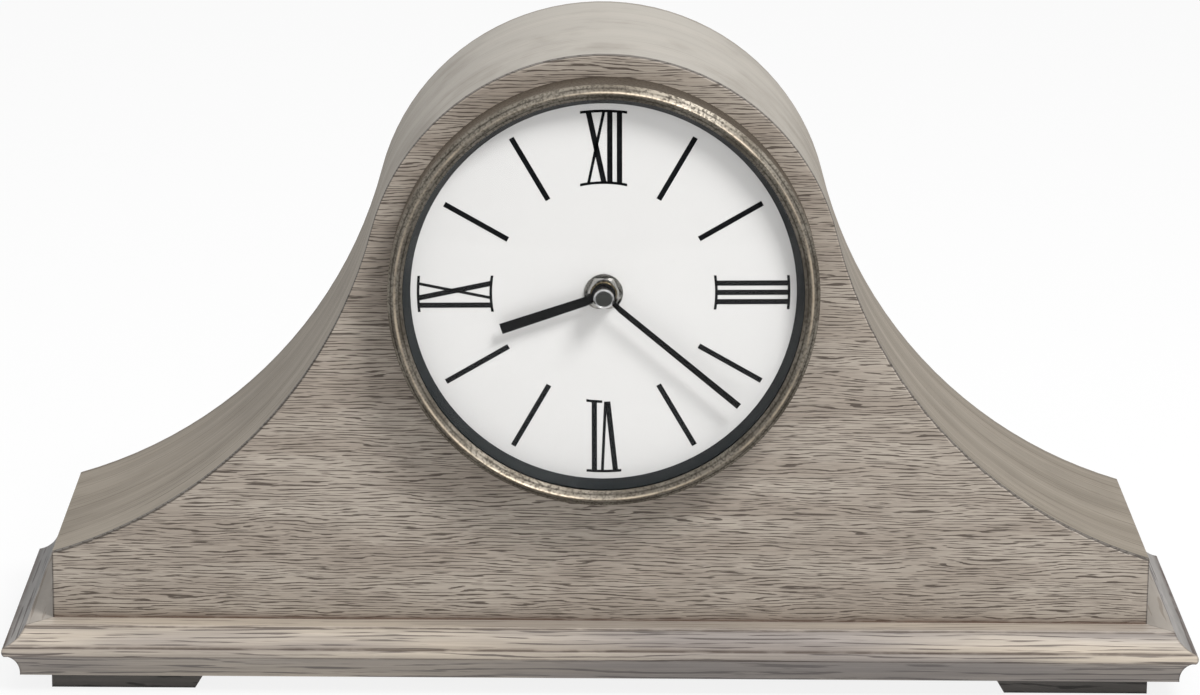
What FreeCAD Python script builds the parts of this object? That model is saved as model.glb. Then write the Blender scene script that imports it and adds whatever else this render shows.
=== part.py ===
import FreeCAD, Part
import math
import os

# Chiming shelf clock with a tambour case: a round dome over the dial that sweeps down to two low ends.
# All lengths are in millimetres. X runs to the right of the dial, Y from the dial to the back, Z up.
# The solids are laid out with the front panel's face at Y zero and the feet's soles at Z zero.
# They are written with the origin on the ground under the middle of the whole clock.

Vector = FreeCAD.Vector
FULL_TURN = 360
QUARTER_TURN = 90
NUT_SIDES = 6

# Clearances and the overrun of every cut
overrun = 1.0
running_gap = 0.05
seat_gap = 0.02
axial_gap = 0.25
air_gap = 0.4

# Case
case_width = 421.3
case_depth = 111.0
end_height = 25.8
dome_radius = 90.8
dome_rise = 130.6
sweep_radius = 179.7
skin_thickness = 4.0
face_thickness = 2.0
face_edge_round = 0.8
front_panel_thickness = 15.0
back_panel_thickness = 12.0
end_panel_thickness = 12.0
dial_rise = 132.0
movement_hole_gap = 2.8

# Base moulding, as distances out from and down from its upper edge
foot_height = 7.3
base_thickness = 19.4
base_ledge = 9.25
rail_width = 34.0
edge_drop = 0.5
nose_out = 8.7
cove_drop = 6.8
nose_height = 3.7
nose_under = 0.8
undercut = 6.2
undercut_flat = 0.7
cove_belly_shares = (0.36, 0.64)
undercut_belly_shares = (0.68, 0.34)
nose_belly_share = 0.5
base_board_thickness = 12.0

# Feet
foot_length = 59.5
foot_slant = 4.4
foot_depth = 27.0
foot_side_setback = 11.4
foot_front_setback = 7.4

# Wood screws that hold the case to the base
base_screw_spread = 240.0
base_screw_radius = 2.0
base_screw_reach = 18.0
base_screw_head_radius = 4.0
base_screw_head_height = 3.0
base_screw_sink = 4.0

# Back door
door_recess_radius = 72.5
door_recess_foot = 38.0
door_lip = 9.0
door_thickness = 6.0
door_gap = 0.5
finger_hole_radius = 9.0
finger_hole_edge = 18.0
sound_slot_count = 5
sound_slot_width = 3.0
sound_slot_pitch = 9.0
sound_slot_length = 36.0
catch_radius = 3.5
catch_length = 5.0
catch_plate_thickness = 1.0

# Hinges
hinge_spread = 62.0
hinge_height = 26.0
hinge_leaf_width = 14.0
hinge_leaf_thickness = 1.0
hinge_barrel_radius = 2.0
hinge_pin_radius = 1.0
hinge_lift = 0.2
hinge_middle_share = 0.4
hinge_pin_head_radius = 1.7
hinge_pin_head_height = 0.6

# Bezel, crystal and dial
bezel_radius = 81.25
bezel_wall_height = 14.9
bezel_wall_thickness = 4.25
bezel_ridge_inset = 2.75
bezel_ridge_height = 17.05
bezel_ring_width = 5.7
bezel_lip_height = 14.95
bezel_lip_thickness = 0.65
bezel_seat_gap = 0.1
crystal_thickness = 1.5
crystal_dome_inset = 0.55
crystal_curve_radius = 260.0
dial_height = 7.5
dial_plate_thickness = 0.8
surround_inset = 0.15
surround_width = 2.8
bezel_screw_count = 4
bezel_screw_radius = 1.2
bezel_screw_reach = 7.0
bezel_screw_head_radius = 2.4
bezel_screw_head_height = 1.8

# Movement housing
movement_height = 82.0
movement_depth = 29.0
movement_corner = 4.0
movement_wall = 1.8
front_shell_depth = 14.0
gasket_thickness = 0.8
gasket_radius = 11.0
partition_out = 24.0
partition_thickness = 1.4
post_radius = 2.8
movement_screw_radius = 1.2
movement_screw_head_radius = 2.3
movement_screw_reach = 20.0
upper_screw_inset = 3.5
upper_screw_drop = 5.4
lower_screw_inset = 6.0
lower_screw_lift = 6.4

# Bush, nut and hands
bush_radius = 4.7
bush_bore_radius = 2.95
bush_flange_radius = 5.9
bush_flange_thickness = 0.4
bush_height = 10.9
washer_radius = 7.3
washer_thickness = 0.6
nut_width = 12.2
nut_thickness = 2.2
nut_bevel_height = 1.0
pipe_bore_radius = 1.45
pipe_height = 12.0
hour_boss_radius = 4.6
hour_boss_height = 12.2
hour_boss_thickness = 1.1
hand_thickness = 0.5
hour_hand_length = 40.7
hour_hand_root_width = 3.3
hour_hand_tip_width = 4.0
minute_boss_radius = 3.7
minute_boss_height = 13.6
minute_boss_thickness = 0.8
minute_hand_length = 66.5
minute_hand_root_width = 2.1
minute_hand_tip_width = 2.4
minute_stud_radius = 1.0
minute_stud_height = 17.2
hand_nut_radius = 3.9
hand_nut_height = 19.0
hand_nut_bevel = 0.55
hand_nut_face_depth = 0.3
hour_hand_angle = 251.0
minute_hand_angle = 129.5

# Wheels: pitch modules, tooth counts and thicknesses
motion_module = 0.4
hour_module = 0.32
third_module = 0.3
fourth_module = 0.28
cannon_teeth = 10
motion_teeth = 30
motion_pinion_teeth = 10
hour_teeth = 40
centre_teeth = 60
third_pinion_teeth = 8
third_teeth = 64
fourth_pinion_teeth = 8
fourth_teeth = 60
wheel_thickness = 1.2
layer_gap = 1.0
floor_gap = 0.5
leaf_overhang = 0.2
bridge_thickness = 1.2
third_wheel_angle = 60.0
fourth_wheel_angle = 160.0
arbor_radius = 0.7
pivot_radius = 0.5
pivot_boss_radius = 1.4
motion_stud_radius = 0.8
centre_pivot_radius = 0.75
wheel_crossing_share = 0.28
wheel_hub_share = 0.24
wheel_rim_share = 0.80
wheel_crossings = 3
bridge_post_radius = 1.6
bridge_half_width = 17.5
bridge_low = 13.0
bridge_high = 19.2
bridge_post_shares = ((-0.8, -0.55), (0.8, -0.55), (-0.89, 0.1), (0.9, 0.9))

# Shares of half the tooth pitch and of the module that shape a wheel tooth and a pinion leaf
tooth_pitch_share = 0.43
tooth_tip_share = 0.22
tooth_root_share = 0.52
leaf_pitch_share = 0.36
leaf_tip_share = 0.16
leaf_root_share = 0.26
addendum_share = 0.85
dedendum_share = 1.15

# Motor, board and speaker
motor_width = 16.0
motor_height = 13.0
motor_depth = 6.4
motor_left = 14.0
motor_mesh_depth = 1.2
coil_radius = 3.2
coil_flange_radius = 4.0
coil_length = 12.5
coil_flange_thickness = 1.0
coil_out = 10.0
board_thickness = 1.6
board_side_gap = 1.0
board_low = 37.0
board_high = 31.0
quartz_can_radius = 1.5
quartz_can_length = 7.0
quartz_can_out = 17.0
quartz_can_low = 8.0
speaker_radius = 18.5
speaker_rise = 14.0
speaker_depth = 9.0
speaker_flange_width = 2.2
speaker_flange_thickness = 1.0
speaker_wall = 0.8
speaker_magnet_radius = 9.0
speaker_magnet_thickness = 3.8
speaker_cap_radius = 5.0
speaker_cone_thickness = 0.5
speaker_cone_rim = 1.2
speaker_cap_rise = 0.9
grille_slot_count = 7
grille_slot_width = 2.0
grille_slot_pitch = 4.0

# Cells and their contacts
cell_radius = 13.1
cell_length = 48.5
cell_nub_radius = 3.8
cell_nub_length = 1.5
cell_wall_gap = 0.3
cell_edge_round = 0.8
contact_thickness = 0.6
contact_width = 11.0
contact_depth = 16.0
contact_spring_rise = 3.0
contact_spring_half_span = 6.0
bay_shelf_thickness = 1.6

# Controls on the movement's back
set_knob_radius = 7.0
set_knob_height = 5.4
set_knob_flutes = 12
set_knob_flute_radius = 1.2
set_arbor_radius = 1.5
volume_knob_radius = 7.5
volume_knob_height = 3.6
volume_knob_flutes = 12
volume_knob_flute_radius = 1.0
volume_shaft_radius = 1.5
volume_knob_out = 34.0
volume_knob_lift = 12.0
control_width = 11.0
slide_out = 30.0
night_slide_lift = 8.0
slide_pitch = 10.0
slide_button_width = 4.0
slide_button_height = 3.4
slide_button_stand = 3.0
slide_foot_margin = 2.5
slide_foot_lip = 1.1
slide_foot_thickness = 1.2
slide_gap = 0.2
melody_travel = 3.0
night_travel = 4.0
switch_height = 6.6
knob_lift = 0.5

# Places that follow from the sizes above
half_width = case_width / 2
movement_half_width = (partition_out + partition_thickness + 2 * (cell_wall_gap + cell_radius)
                       + movement_wall)
movement_half_height = movement_height / 2
movement_reach = movement_corner + math.hypot(movement_half_width - movement_corner,
                                              movement_half_height - movement_corner)
movement_hole_radius = movement_reach + movement_hole_gap
base_top = foot_height + base_thickness
ledge_top = base_top + end_height
dome_centre = Vector(0, 0, base_top + dome_rise)
dial_z = base_top + dial_rise
movement_front = gasket_thickness
movement_back = movement_front + movement_depth
train_front = movement_front + movement_wall
shell_back = movement_front + front_shell_depth
cover_inside = movement_back - movement_wall
bezel_ridge_radius = bezel_radius - bezel_ridge_inset
bezel_opening_radius = bezel_radius - bezel_ring_width
bezel_seat_radius = bezel_radius - bezel_wall_thickness
dial_rim_radius = bezel_seat_radius - bezel_seat_gap
surround_outer_radius = bezel_opening_radius - surround_inset
surround_inner_radius = surround_outer_radius - surround_width
crystal_dome_radius = bezel_opening_radius - crystal_dome_inset
crystal_front = bezel_lip_height - bezel_lip_thickness
crystal_back = crystal_front - crystal_thickness
crystal_rise = crystal_curve_radius - math.sqrt(crystal_curve_radius ** 2 - crystal_dome_radius ** 2)
front_reach = crystal_front + crystal_rise
hinge_axis_y = case_depth + hinge_barrel_radius + hinge_lift
back_reach = hinge_axis_y + hinge_barrel_radius
middle_y = (back_reach - front_reach) / 2
motion_distance = motion_module * (cannon_teeth + motion_teeth) / 2
set_distance = 2 * motion_distance
third_distance = third_module * (centre_teeth + third_pinion_teeth) / 2
fourth_distance = fourth_module * (third_teeth + fourth_pinion_teeth) / 2
cell_out = movement_half_width - movement_wall - cell_wall_gap - cell_radius
cell_y = train_front + cell_wall_gap + cell_radius
bay_top = movement_half_height - movement_wall
bay_length = cell_length + cell_nub_length + contact_thickness * 2 + contact_spring_rise
board_front = shell_back + axial_gap
volume_place = (-volume_knob_out, volume_knob_lift - movement_half_height)
slide_place_night = (slide_out, night_slide_lift - movement_half_height)
slide_place_melody = (slide_out, slide_place_night[1] + slide_pitch)

# Wheel layers, counted back from the inside of the movement's front wall
hour_layer = (floor_gap, floor_gap + wheel_thickness)
motion_front = hour_layer[1] + layer_gap
motion_layer = (motion_front, motion_front + wheel_thickness)
motion_pinion_layer = (hour_layer[0] - leaf_overhang, motion_front)
cannon_layer = (motion_layer[0] - leaf_overhang, motion_layer[1] + leaf_overhang)
centre_front = motion_layer[1] + layer_gap
centre_layer = (centre_front, centre_front + wheel_thickness)
third_front = centre_layer[1] + layer_gap
third_layer = (third_front, third_front + wheel_thickness)
third_pinion_layer = (centre_front - leaf_overhang, third_front)
fourth_front = third_layer[1] + layer_gap
fourth_layer = (fourth_front, fourth_front + wheel_thickness)
fourth_pinion_layer = (third_front - leaf_overhang, fourth_front)
bridge_front = fourth_layer[1] + axial_gap
bridge_layer = (bridge_front, bridge_front + bridge_thickness)


def polar(distance, angle):
    """Offset in X and Z at an angle in degrees, counted from X towards Z."""
    return (distance * math.cos(math.radians(angle)), distance * math.sin(math.radians(angle)))


third_place = polar(third_distance, third_wheel_angle)
fourth_step = polar(fourth_distance, fourth_wheel_angle)
fourth_place = (third_place[0] + fourth_step[0], third_place[1] + fourth_step[1])
motion_place = (0, -motion_distance)
set_place = (0, -set_distance)


def bridge_posts():
    """Places of the bridge's posts, from shares of its half width and of its rise or drop."""
    places = []
    for across, up in bridge_post_shares:
        places.append((across * bridge_half_width, up * (bridge_high if up > 0 else bridge_low)))
    return places


# Shape helpers


def at_dial(x, y, rise):
    """Point given from the dial's centre across the front and up, at a depth y."""
    return Vector(x, y, dial_z + rise)


def block(x0, x1, y0, y1, z0, z1):
    return Part.makeBox(x1 - x0, y1 - y0, z1 - z0, Vector(x0, y0, z0))


def rod(radius, y0, y1, place=(0, 0)):
    """Cylinder along Y, placed from the dial's centre."""
    return Part.makeCylinder(radius, y1 - y0, at_dial(place[0], y0, place[1]), Vector(0, 1, 0))


def tube(outer_radius, inner_radius, y0, y1, place=(0, 0)):
    hole = rod(inner_radius, y0 - overrun, y1 + overrun, place)
    return rod(outer_radius, y0, y1, place).cut(hole)


def spun(profile, place=(0, 0)):
    """Solid turned about the Y axis from points of radius and depth."""
    points = [at_dial(place[0] + radius, y, place[1]) for radius, y in profile]
    face = Part.Face(Part.makePolygon(points + points[:1]))
    return face.revolve(at_dial(place[0], 0, place[1]), Vector(0, 1, 0), FULL_TURN)


def rounded_prism(width, height, corner, y0, y1):
    """Block with rounded corners, centred on the dial."""
    shape = block(-width / 2, width / 2, y0, y1, dial_z - height / 2, dial_z + height / 2)
    upright = [edge for edge in shape.Edges if edge.BoundBox.YLength > (y1 - y0) / 2]
    return shape.makeFillet(corner, upright)


def joined(shapes):
    return shapes[0].fuse(shapes[1:]).removeSplitter()


def without(shape, cutters):
    return shape.cut(cutters) if cutters else shape


# Outlines of the case and the door


def case_outline(inset):
    """Face of the case's front outline, its curved top moved in by the inset."""
    dome = dome_radius - inset
    sweep = sweep_radius + inset
    corner = Vector(half_width, 0, ledge_top)
    centres = dome_radius + sweep_radius
    to_corner = corner - dome_centre
    opening = math.acos((centres ** 2 + to_corner.Length ** 2 - sweep_radius ** 2)
                        / (2 * centres * to_corner.Length))
    lean = math.atan2(to_corner.z, to_corner.x) + opening
    sweep_centre = dome_centre + Vector(math.cos(lean), 0, math.sin(lean)) * centres
    low_z = sweep_centre.z - math.sqrt(sweep ** 2 - (sweep_centre.x - half_width) ** 2)
    low = Vector(half_width, 0, low_z)
    join = dome_centre + Vector(math.cos(lean), 0, math.sin(lean)) * dome
    halfway = (low + join) * 0.5 - sweep_centre
    belly = sweep_centre + halfway * (sweep / halfway.Length)
    foot = Vector(half_width, 0, base_top)
    crown = dome_centre + Vector(0, 0, dome)

    def mirror(point):
        return Vector(-point.x, 0, point.z)

    edges = [
        Part.makeLine(mirror(foot), foot),
        Part.makeLine(foot, low),
        Part.Arc(low, belly, join).toShape(),
        Part.Arc(join, crown, mirror(join)).toShape(),
        Part.Arc(mirror(join), mirror(belly), mirror(low)).toShape(),
        Part.makeLine(mirror(low), mirror(foot)),
    ]
    return Part.Face(Part.Wire(edges))


def case_slab(inset, y0, y1):
    face = case_outline(inset)
    face.translate(Vector(0, y0, 0))
    return face.extrude(Vector(0, y1 - y0, 0))


def arched_slab(radius, foot_z, y0, y1):
    """Slab with a round head about the dome's centre, straight sides and a flat foot."""
    left = Vector(-radius, y0, dome_centre.z)
    right = Vector(radius, y0, dome_centre.z)
    head = Part.Arc(left, Vector(0, y0, dome_centre.z + radius), right).toShape()
    low_left = Vector(-radius, y0, foot_z)
    low_right = Vector(radius, y0, foot_z)
    edges = [
        head,
        Part.makeLine(right, low_right),
        Part.makeLine(low_right, low_left),
        Part.makeLine(low_left, left),
    ]
    return Part.Face(Part.Wire(edges)).extrude(Vector(0, y1 - y0, 0))


# Case


def base_screw_places():
    """Foot points of the four screws under the front and the back panel."""
    front_y = front_panel_thickness / 2
    back_y = case_depth - back_panel_thickness / 2
    return [(x, y) for y in (front_y, back_y) for x in (-base_screw_spread / 2, base_screw_spread / 2)]


def base_screw_holes(clearance):
    """Cutters or bodies of the base screws, grown by a clearance."""
    shapes = []
    for x, y in base_screw_places():
        head_foot = foot_height + base_screw_sink - base_screw_head_height
        shank_top = base_top + base_screw_reach
        shank = Part.makeCylinder(base_screw_radius + clearance, shank_top - head_foot,
                                  Vector(x, y, head_foot))
        shapes.append((shank, Vector(x, y, head_foot)))
    return shapes


def base_screws():
    bodies = []
    for shank, foot in base_screw_holes(0):
        head = Part.makeCylinder(base_screw_head_radius, base_screw_head_height, foot)
        bodies.append(joined([shank, head]))
    return Part.makeCompound(bodies)


def base_screw_cutters():
    cutters = []
    for shank, foot in base_screw_holes(seat_gap):
        sink_foot = Vector(foot.x, foot.y, foot_height - overrun)
        sink = Part.makeCylinder(base_screw_head_radius + air_gap, base_screw_sink + overrun, sink_foot)
        cutters += [shank, sink]
    return cutters


def bezel_screw_angles():
    half_step = FULL_TURN / bezel_screw_count / 2
    return [half_step + FULL_TURN * i / bezel_screw_count for i in range(bezel_screw_count)]


def bezel_screw_circle():
    return (bezel_radius + bezel_seat_radius) / 2


def bezel_screws():
    bodies = []
    for angle in bezel_screw_angles():
        place = polar(bezel_screw_circle(), angle)
        shank = rod(bezel_screw_radius, -bezel_screw_reach, front_panel_thickness, place)
        head_back = front_panel_thickness + bezel_screw_head_height
        head = rod(bezel_screw_head_radius, front_panel_thickness, head_back, place)
        bodies.append(joined([shank, head]))
    return Part.makeCompound(bodies)


def bezel_screw_cutters():
    cutters = []
    for angle in bezel_screw_angles():
        place = polar(bezel_screw_circle(), angle)
        cutters.append(rod(bezel_screw_radius + seat_gap, -bezel_screw_reach,
                           front_panel_thickness + overrun, place))
    return cutters


def front_panel():
    """Front board: a thin full face, and a core behind it that the roof skin wraps."""
    face = case_slab(0, 0, face_thickness)
    rim = [edge for edge in face.Edges
           if edge.BoundBox.YMax < face_thickness / 2 and edge.BoundBox.ZMax > base_top + end_height / 2]
    face = face.makeFillet(face_edge_round, rim)
    core = case_slab(skin_thickness, face_thickness, front_panel_thickness)
    hole = rod(movement_hole_radius, -overrun, front_panel_thickness + overrun)
    return without(joined([face, core]), [hole] + bezel_screw_cutters() + base_screw_cutters())


def roof_skin():
    """Bent sheet over the dome and both sweeps, from behind the front face to the back."""
    outer = case_slab(0, face_thickness, case_depth)
    inner = case_slab(skin_thickness, face_thickness - overrun, case_depth + overrun)
    return outer.cut(inner)


def end_panel(side):
    """Low upright end between the front core and the back panel, under the skin's edge."""
    outer_x = side * half_width
    inner_x = side * (half_width - end_panel_thickness)
    strip = block(min(outer_x, inner_x), max(outer_x, inner_x), front_panel_thickness,
                  case_depth - back_panel_thickness, base_top, dome_centre.z)
    return strip.common(case_slab(skin_thickness, 0, case_depth))


def catch_place():
    """Centre of the magnet in the door's stop lip, beside the free edge."""
    return (-(door_recess_radius - door_lip / 2), 0)


def back_panel():
    """Back board with an arched opening and a recess round it that the door shuts into."""
    back = case_slab(skin_thickness, case_depth - back_panel_thickness, case_depth)
    recess = arched_slab(door_recess_radius, base_top + door_recess_foot,
                         case_depth - door_thickness, case_depth + overrun)
    opening = arched_slab(door_recess_radius - door_lip, base_top + door_recess_foot + door_lip,
                          case_depth - back_panel_thickness - overrun, case_depth)
    magnet_back = case_depth - door_thickness
    magnet_hole = rod(catch_radius + seat_gap, magnet_back - catch_length, magnet_back, catch_place())
    return without(back, [recess, opening, magnet_hole] + base_screw_cutters())


# Base


def moulding_profile(place):
    """Closed face of the base moulding. The function place turns (out, height) into a point."""
    out_x, out_z = cove_belly_shares
    under_x, under_z = undercut_belly_shares
    nose_top = (nose_out - edge_drop, base_top - cove_drop)
    nose_low = (nose_out - nose_under, nose_top[1] - nose_height)
    hollow_top = (nose_low[0] - undercut_flat, nose_low[1])
    hollow_foot = (nose_out - undercut, foot_height)
    cove_top = (edge_drop, base_top - edge_drop)
    cove_belly = (cove_top[0] + (nose_top[0] - cove_top[0]) * out_x,
                  cove_top[1] + (nose_top[1] - cove_top[1]) * out_z)
    nose_front = (nose_out, nose_low[1] + nose_height * nose_belly_share)
    hollow_belly = (hollow_foot[0] + (hollow_top[0] - hollow_foot[0]) * (1 - under_x),
                    hollow_top[1] + (hollow_foot[1] - hollow_top[1]) * under_z)

    def line(start, end):
        return Part.makeLine(place(*start), place(*end))

    def arc(start, middle, end):
        return Part.Arc(place(*start), place(*middle), place(*end)).toShape()

    inner_top = (-rail_width, base_top)
    inner_foot = (-rail_width, foot_height)
    top_edge = (0, base_top)
    edges = [
        line(inner_top, top_edge),
        line(top_edge, cove_top),
        arc(cove_top, cove_belly, nose_top),
        arc(nose_top, nose_front, nose_low),
        line(nose_low, hollow_top),
        arc(hollow_top, hollow_belly, hollow_foot),
        line(hollow_foot, inner_foot),
        line(inner_foot, inner_top),
    ]
    return Part.Face(Part.Wire(edges))


def mitre_wedge():
    """Plan trapezoid that the front rail fills: its slanted ends are the mitres."""
    edge_x = half_width + base_ledge
    reach = nose_out + overrun
    inner = rail_width
    corners = [
        Vector(-edge_x - reach, -base_ledge - reach, 0),
        Vector(edge_x + reach, -base_ledge - reach, 0),
        Vector(edge_x - inner, -base_ledge + inner, 0),
        Vector(-edge_x + inner, -base_ledge + inner, 0),
    ]
    face = Part.Face(Part.makePolygon(corners + corners[:1]))
    return face.extrude(Vector(0, 0, base_top + overrun))


def base_rail_front():
    reach = half_width + base_ledge + nose_out
    face = moulding_profile(lambda out, z: Vector(-reach, -base_ledge - out, z))
    rail = face.extrude(Vector(2 * reach, 0, 0)).common(mitre_wedge())
    return without(rail, base_screw_cutters())


def base_rail_side(side):
    front_y = -base_ledge - nose_out
    face = moulding_profile(lambda out, z: Vector(side * (half_width + base_ledge + out), front_y, z))
    rail = face.extrude(Vector(0, case_depth - front_y, 0))
    return rail.cut(mitre_wedge())


def base_rail_back():
    inner_x = half_width + base_ledge - rail_width
    rail = block(-inner_x, inner_x, case_depth - rail_width, case_depth, foot_height, base_top)
    return without(rail, base_screw_cutters())


def base_board():
    inner_x = half_width + base_ledge - rail_width
    return block(-inner_x, inner_x, -base_ledge + rail_width, case_depth - rail_width,
                 base_top - base_board_thickness, base_top)


def foot(side, front):
    """Corner foot: a flat block whose inner end slants in towards the ground."""
    outer_x = half_width + base_ledge + nose_out - undercut - foot_side_setback
    top_inner_x = outer_x - foot_length
    low_inner_x = top_inner_x + foot_slant
    front_y = -base_ledge - nose_out + undercut + foot_front_setback
    y0 = front_y if front else case_depth - foot_front_setback - foot_depth
    corners = [
        Vector(side * outer_x, y0, 0),
        Vector(side * outer_x, y0, foot_height),
        Vector(side * top_inner_x, y0, foot_height),
        Vector(side * low_inner_x, y0, 0),
    ]
    face = Part.Face(Part.makePolygon(corners + corners[:1]))
    return face.extrude(Vector(0, foot_depth, 0))


def feet(front):
    return Part.makeCompound([foot(side, front) for side in (-1, 1)])


# Back door


def catch_plate_y():
    return case_depth - door_thickness


def back_door():
    """Thin board in the recess, with a finger hole near its free edge and slots for the sound."""
    door = arched_slab(door_recess_radius - door_gap, base_top + door_recess_foot + door_gap,
                       case_depth - door_thickness, case_depth)
    finger_x = -(door_recess_radius - finger_hole_edge - finger_hole_radius)
    finger_z = dome_centre.z - dial_z - door_recess_radius / 2
    hole = rod(finger_hole_radius, case_depth - door_thickness - overrun, case_depth + overrun,
               (finger_x, finger_z))
    cutters = [hole]
    for i in range(sound_slot_count):
        middle = (i - (sound_slot_count - 1) / 2) * sound_slot_pitch
        cutters.append(block(middle - sound_slot_width / 2, middle + sound_slot_width / 2,
                             case_depth - door_thickness - overrun, case_depth + overrun,
                             dial_z + speaker_rise - sound_slot_length / 2,
                             dial_z + speaker_rise + sound_slot_length / 2))
    cutters.append(rod(catch_radius + seat_gap, catch_plate_y() - overrun,
                       catch_plate_y() + catch_plate_thickness, catch_place()))
    return without(door, cutters)


def catch_magnet():
    return rod(catch_radius, catch_plate_y() - catch_length, catch_plate_y(), catch_place())


def catch_plate():
    return rod(catch_radius, catch_plate_y(), catch_plate_y() + catch_plate_thickness, catch_place())


def hinge_foot(number):
    """Height of a hinge's lower end: the hinges stand even about the middle of the door's side."""
    side_middle = (base_top + door_recess_foot + dome_centre.z) / 2
    shift = hinge_spread / 2 if number else -hinge_spread / 2
    return side_middle + shift - hinge_height / 2


def hinge_axis_x():
    return door_recess_radius - door_gap / 2


def hinge_knuckles(number):
    """Heights between which the two case knuckles and the door knuckle lie."""
    low = hinge_foot(number)
    side_height = hinge_height * (1 - hinge_middle_share) / 2
    door_low = low + side_height
    door_high = low + hinge_height - side_height
    case_spans = [(low, door_low - axial_gap), (door_high + axial_gap, low + hinge_height)]
    return case_spans, [(door_low, door_high)]


def hinge_leaf(number, side, spans, other_spans):
    """Leaf plate on the board, cut back where the other leaf's knuckles turn."""
    axis_x = hinge_axis_x()
    low = hinge_foot(number)
    edge_x = axis_x + side * hinge_leaf_width
    plate = block(min(axis_x, edge_x), max(axis_x, edge_x), case_depth,
                  case_depth + hinge_leaf_thickness, low, low + hinge_height)
    clear = hinge_barrel_radius + air_gap
    cutters = []
    for z0, z1 in other_spans:
        cutters.append(block(axis_x - clear, axis_x + clear, case_depth - overrun, back_reach + overrun,
                             z0 - axial_gap, z1 + axial_gap))
    leaf = plate.cut(cutters)
    barrels = [Part.makeCylinder(hinge_barrel_radius, z1 - z0, Vector(axis_x, hinge_axis_y, z0))
               for z0, z1 in spans]
    bore = Part.makeCylinder(hinge_pin_radius + running_gap, hinge_height + 2 * overrun,
                             Vector(axis_x, hinge_axis_y, low - overrun))
    return joined([leaf] + barrels).cut(bore)


def hinge_case_leaf(number):
    case_spans, door_spans = hinge_knuckles(number)
    return hinge_leaf(number, 1, case_spans, door_spans)


def hinge_door_leaf(number):
    case_spans, door_spans = hinge_knuckles(number)
    return hinge_leaf(number, -1, door_spans, case_spans)


def hinge_pins():
    pins = []
    for number in (0, 1):
        foot_point = Vector(hinge_axis_x(), hinge_axis_y, hinge_foot(number))
        shank = Part.makeCylinder(hinge_pin_radius, hinge_height, foot_point)
        head_point = foot_point + Vector(0, 0, hinge_height)
        head = Part.makeCylinder(hinge_pin_head_radius, hinge_pin_head_height, head_point)
        pins.append(joined([shank, head]))
    return Part.makeCompound(pins)


# Bezel, crystal and dial


def bezel():
    """Deep ring with a straight outer wall and a two-sided front that meets in a bright ridge."""
    ring = spun([
        (bezel_seat_radius, 0),
        (bezel_radius, 0),
        (bezel_radius, -bezel_wall_height),
        (bezel_ridge_radius, -bezel_ridge_height),
        (bezel_opening_radius, -bezel_lip_height),
        (bezel_opening_radius, -crystal_front),
        (bezel_seat_radius, -crystal_front),
    ])
    return without(ring, bezel_screw_cutters())


def crystal():
    """Domed glass: a flat rim under the bezel's lip and a shallow ball cap inside it."""

    def cap(y):
        crown = at_dial(0, y - crystal_rise, 0)
        right = at_dial(crystal_dome_radius, y, 0)
        slope = math.asin(crystal_dome_radius / crystal_curve_radius) / 2
        belly = at_dial(crystal_curve_radius * math.sin(slope),
                        y - crystal_rise + crystal_curve_radius * (1 - math.cos(slope)), 0)
        return Part.Arc(crown, belly, right).toShape()

    edges = [
        cap(-crystal_front),
        Part.makeLine(at_dial(crystal_dome_radius, -crystal_front, 0),
                      at_dial(dial_rim_radius, -crystal_front, 0)),
        Part.makeLine(at_dial(dial_rim_radius, -crystal_front, 0),
                      at_dial(dial_rim_radius, -crystal_back, 0)),
        Part.makeLine(at_dial(dial_rim_radius, -crystal_back, 0),
                      at_dial(crystal_dome_radius, -crystal_back, 0)),
        cap(-crystal_back),
        Part.makeLine(at_dial(0, -crystal_back - crystal_rise, 0),
                      at_dial(0, -crystal_front - crystal_rise, 0)),
    ]
    face = Part.Face(Part.Wire(Part.sortEdges(edges)[0]))
    return face.revolve(at_dial(0, 0, 0), Vector(0, 1, 0), FULL_TURN)


def dial_surround():
    """Dark ring that slopes from the crystal's rim in to the dial."""
    return spun([
        (dial_rim_radius, -dial_height),
        (dial_rim_radius, -crystal_back),
        (surround_outer_radius, -crystal_back),
        (surround_inner_radius, -dial_height),
    ])


def dial_plate():
    return tube(dial_rim_radius, bush_radius + seat_gap, -dial_height, -dial_height + dial_plate_thickness)


def dial_backer():
    return tube(dial_rim_radius, bush_radius + seat_gap, -dial_height + dial_plate_thickness, 0)


# Movement housing


def movement_prism(inset, y0, y1):
    width = 2 * (movement_half_width - inset)
    height = 2 * (movement_half_height - inset)
    return rounded_prism(width, height, movement_corner - inset, y0, y1)


def movement_screw_places():
    upper = (partition_out - upper_screw_inset, movement_half_height - upper_screw_drop)
    lower = (movement_half_width - lower_screw_inset, lower_screw_lift - movement_half_height)
    return [(side * x, up) for x, up in (upper, lower) for side in (-1, 1)]


def movement_screws():
    bodies = []
    head_front = cover_inside
    for place in movement_screw_places():
        shank = rod(movement_screw_radius, head_front - movement_screw_reach, head_front, place)
        head = rod(movement_screw_head_radius, head_front, movement_back - knob_lift, place)
        bodies.append(joined([shank, head]))
    return Part.makeCompound(bodies)


def movement_screw_cutters():
    cutters = []
    for place in movement_screw_places():
        cutters.append(rod(movement_screw_radius + seat_gap, cover_inside - movement_screw_reach,
                           movement_back + overrun, place))
        cutters.append(rod(movement_screw_head_radius + air_gap, cover_inside,
                           movement_back + overrun, place))
    return cutters


def layer(span):
    """Depths of a wheel layer, counted from the inside of the movement's front wall."""
    return (train_front + span[0], train_front + span[1])


def pivot_boss(place, wheel_layer):
    """Boss on the front wall that ends just before the wheel it carries."""
    return rod(pivot_boss_radius, train_front, layer(wheel_layer)[0] - axial_gap, place)


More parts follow.
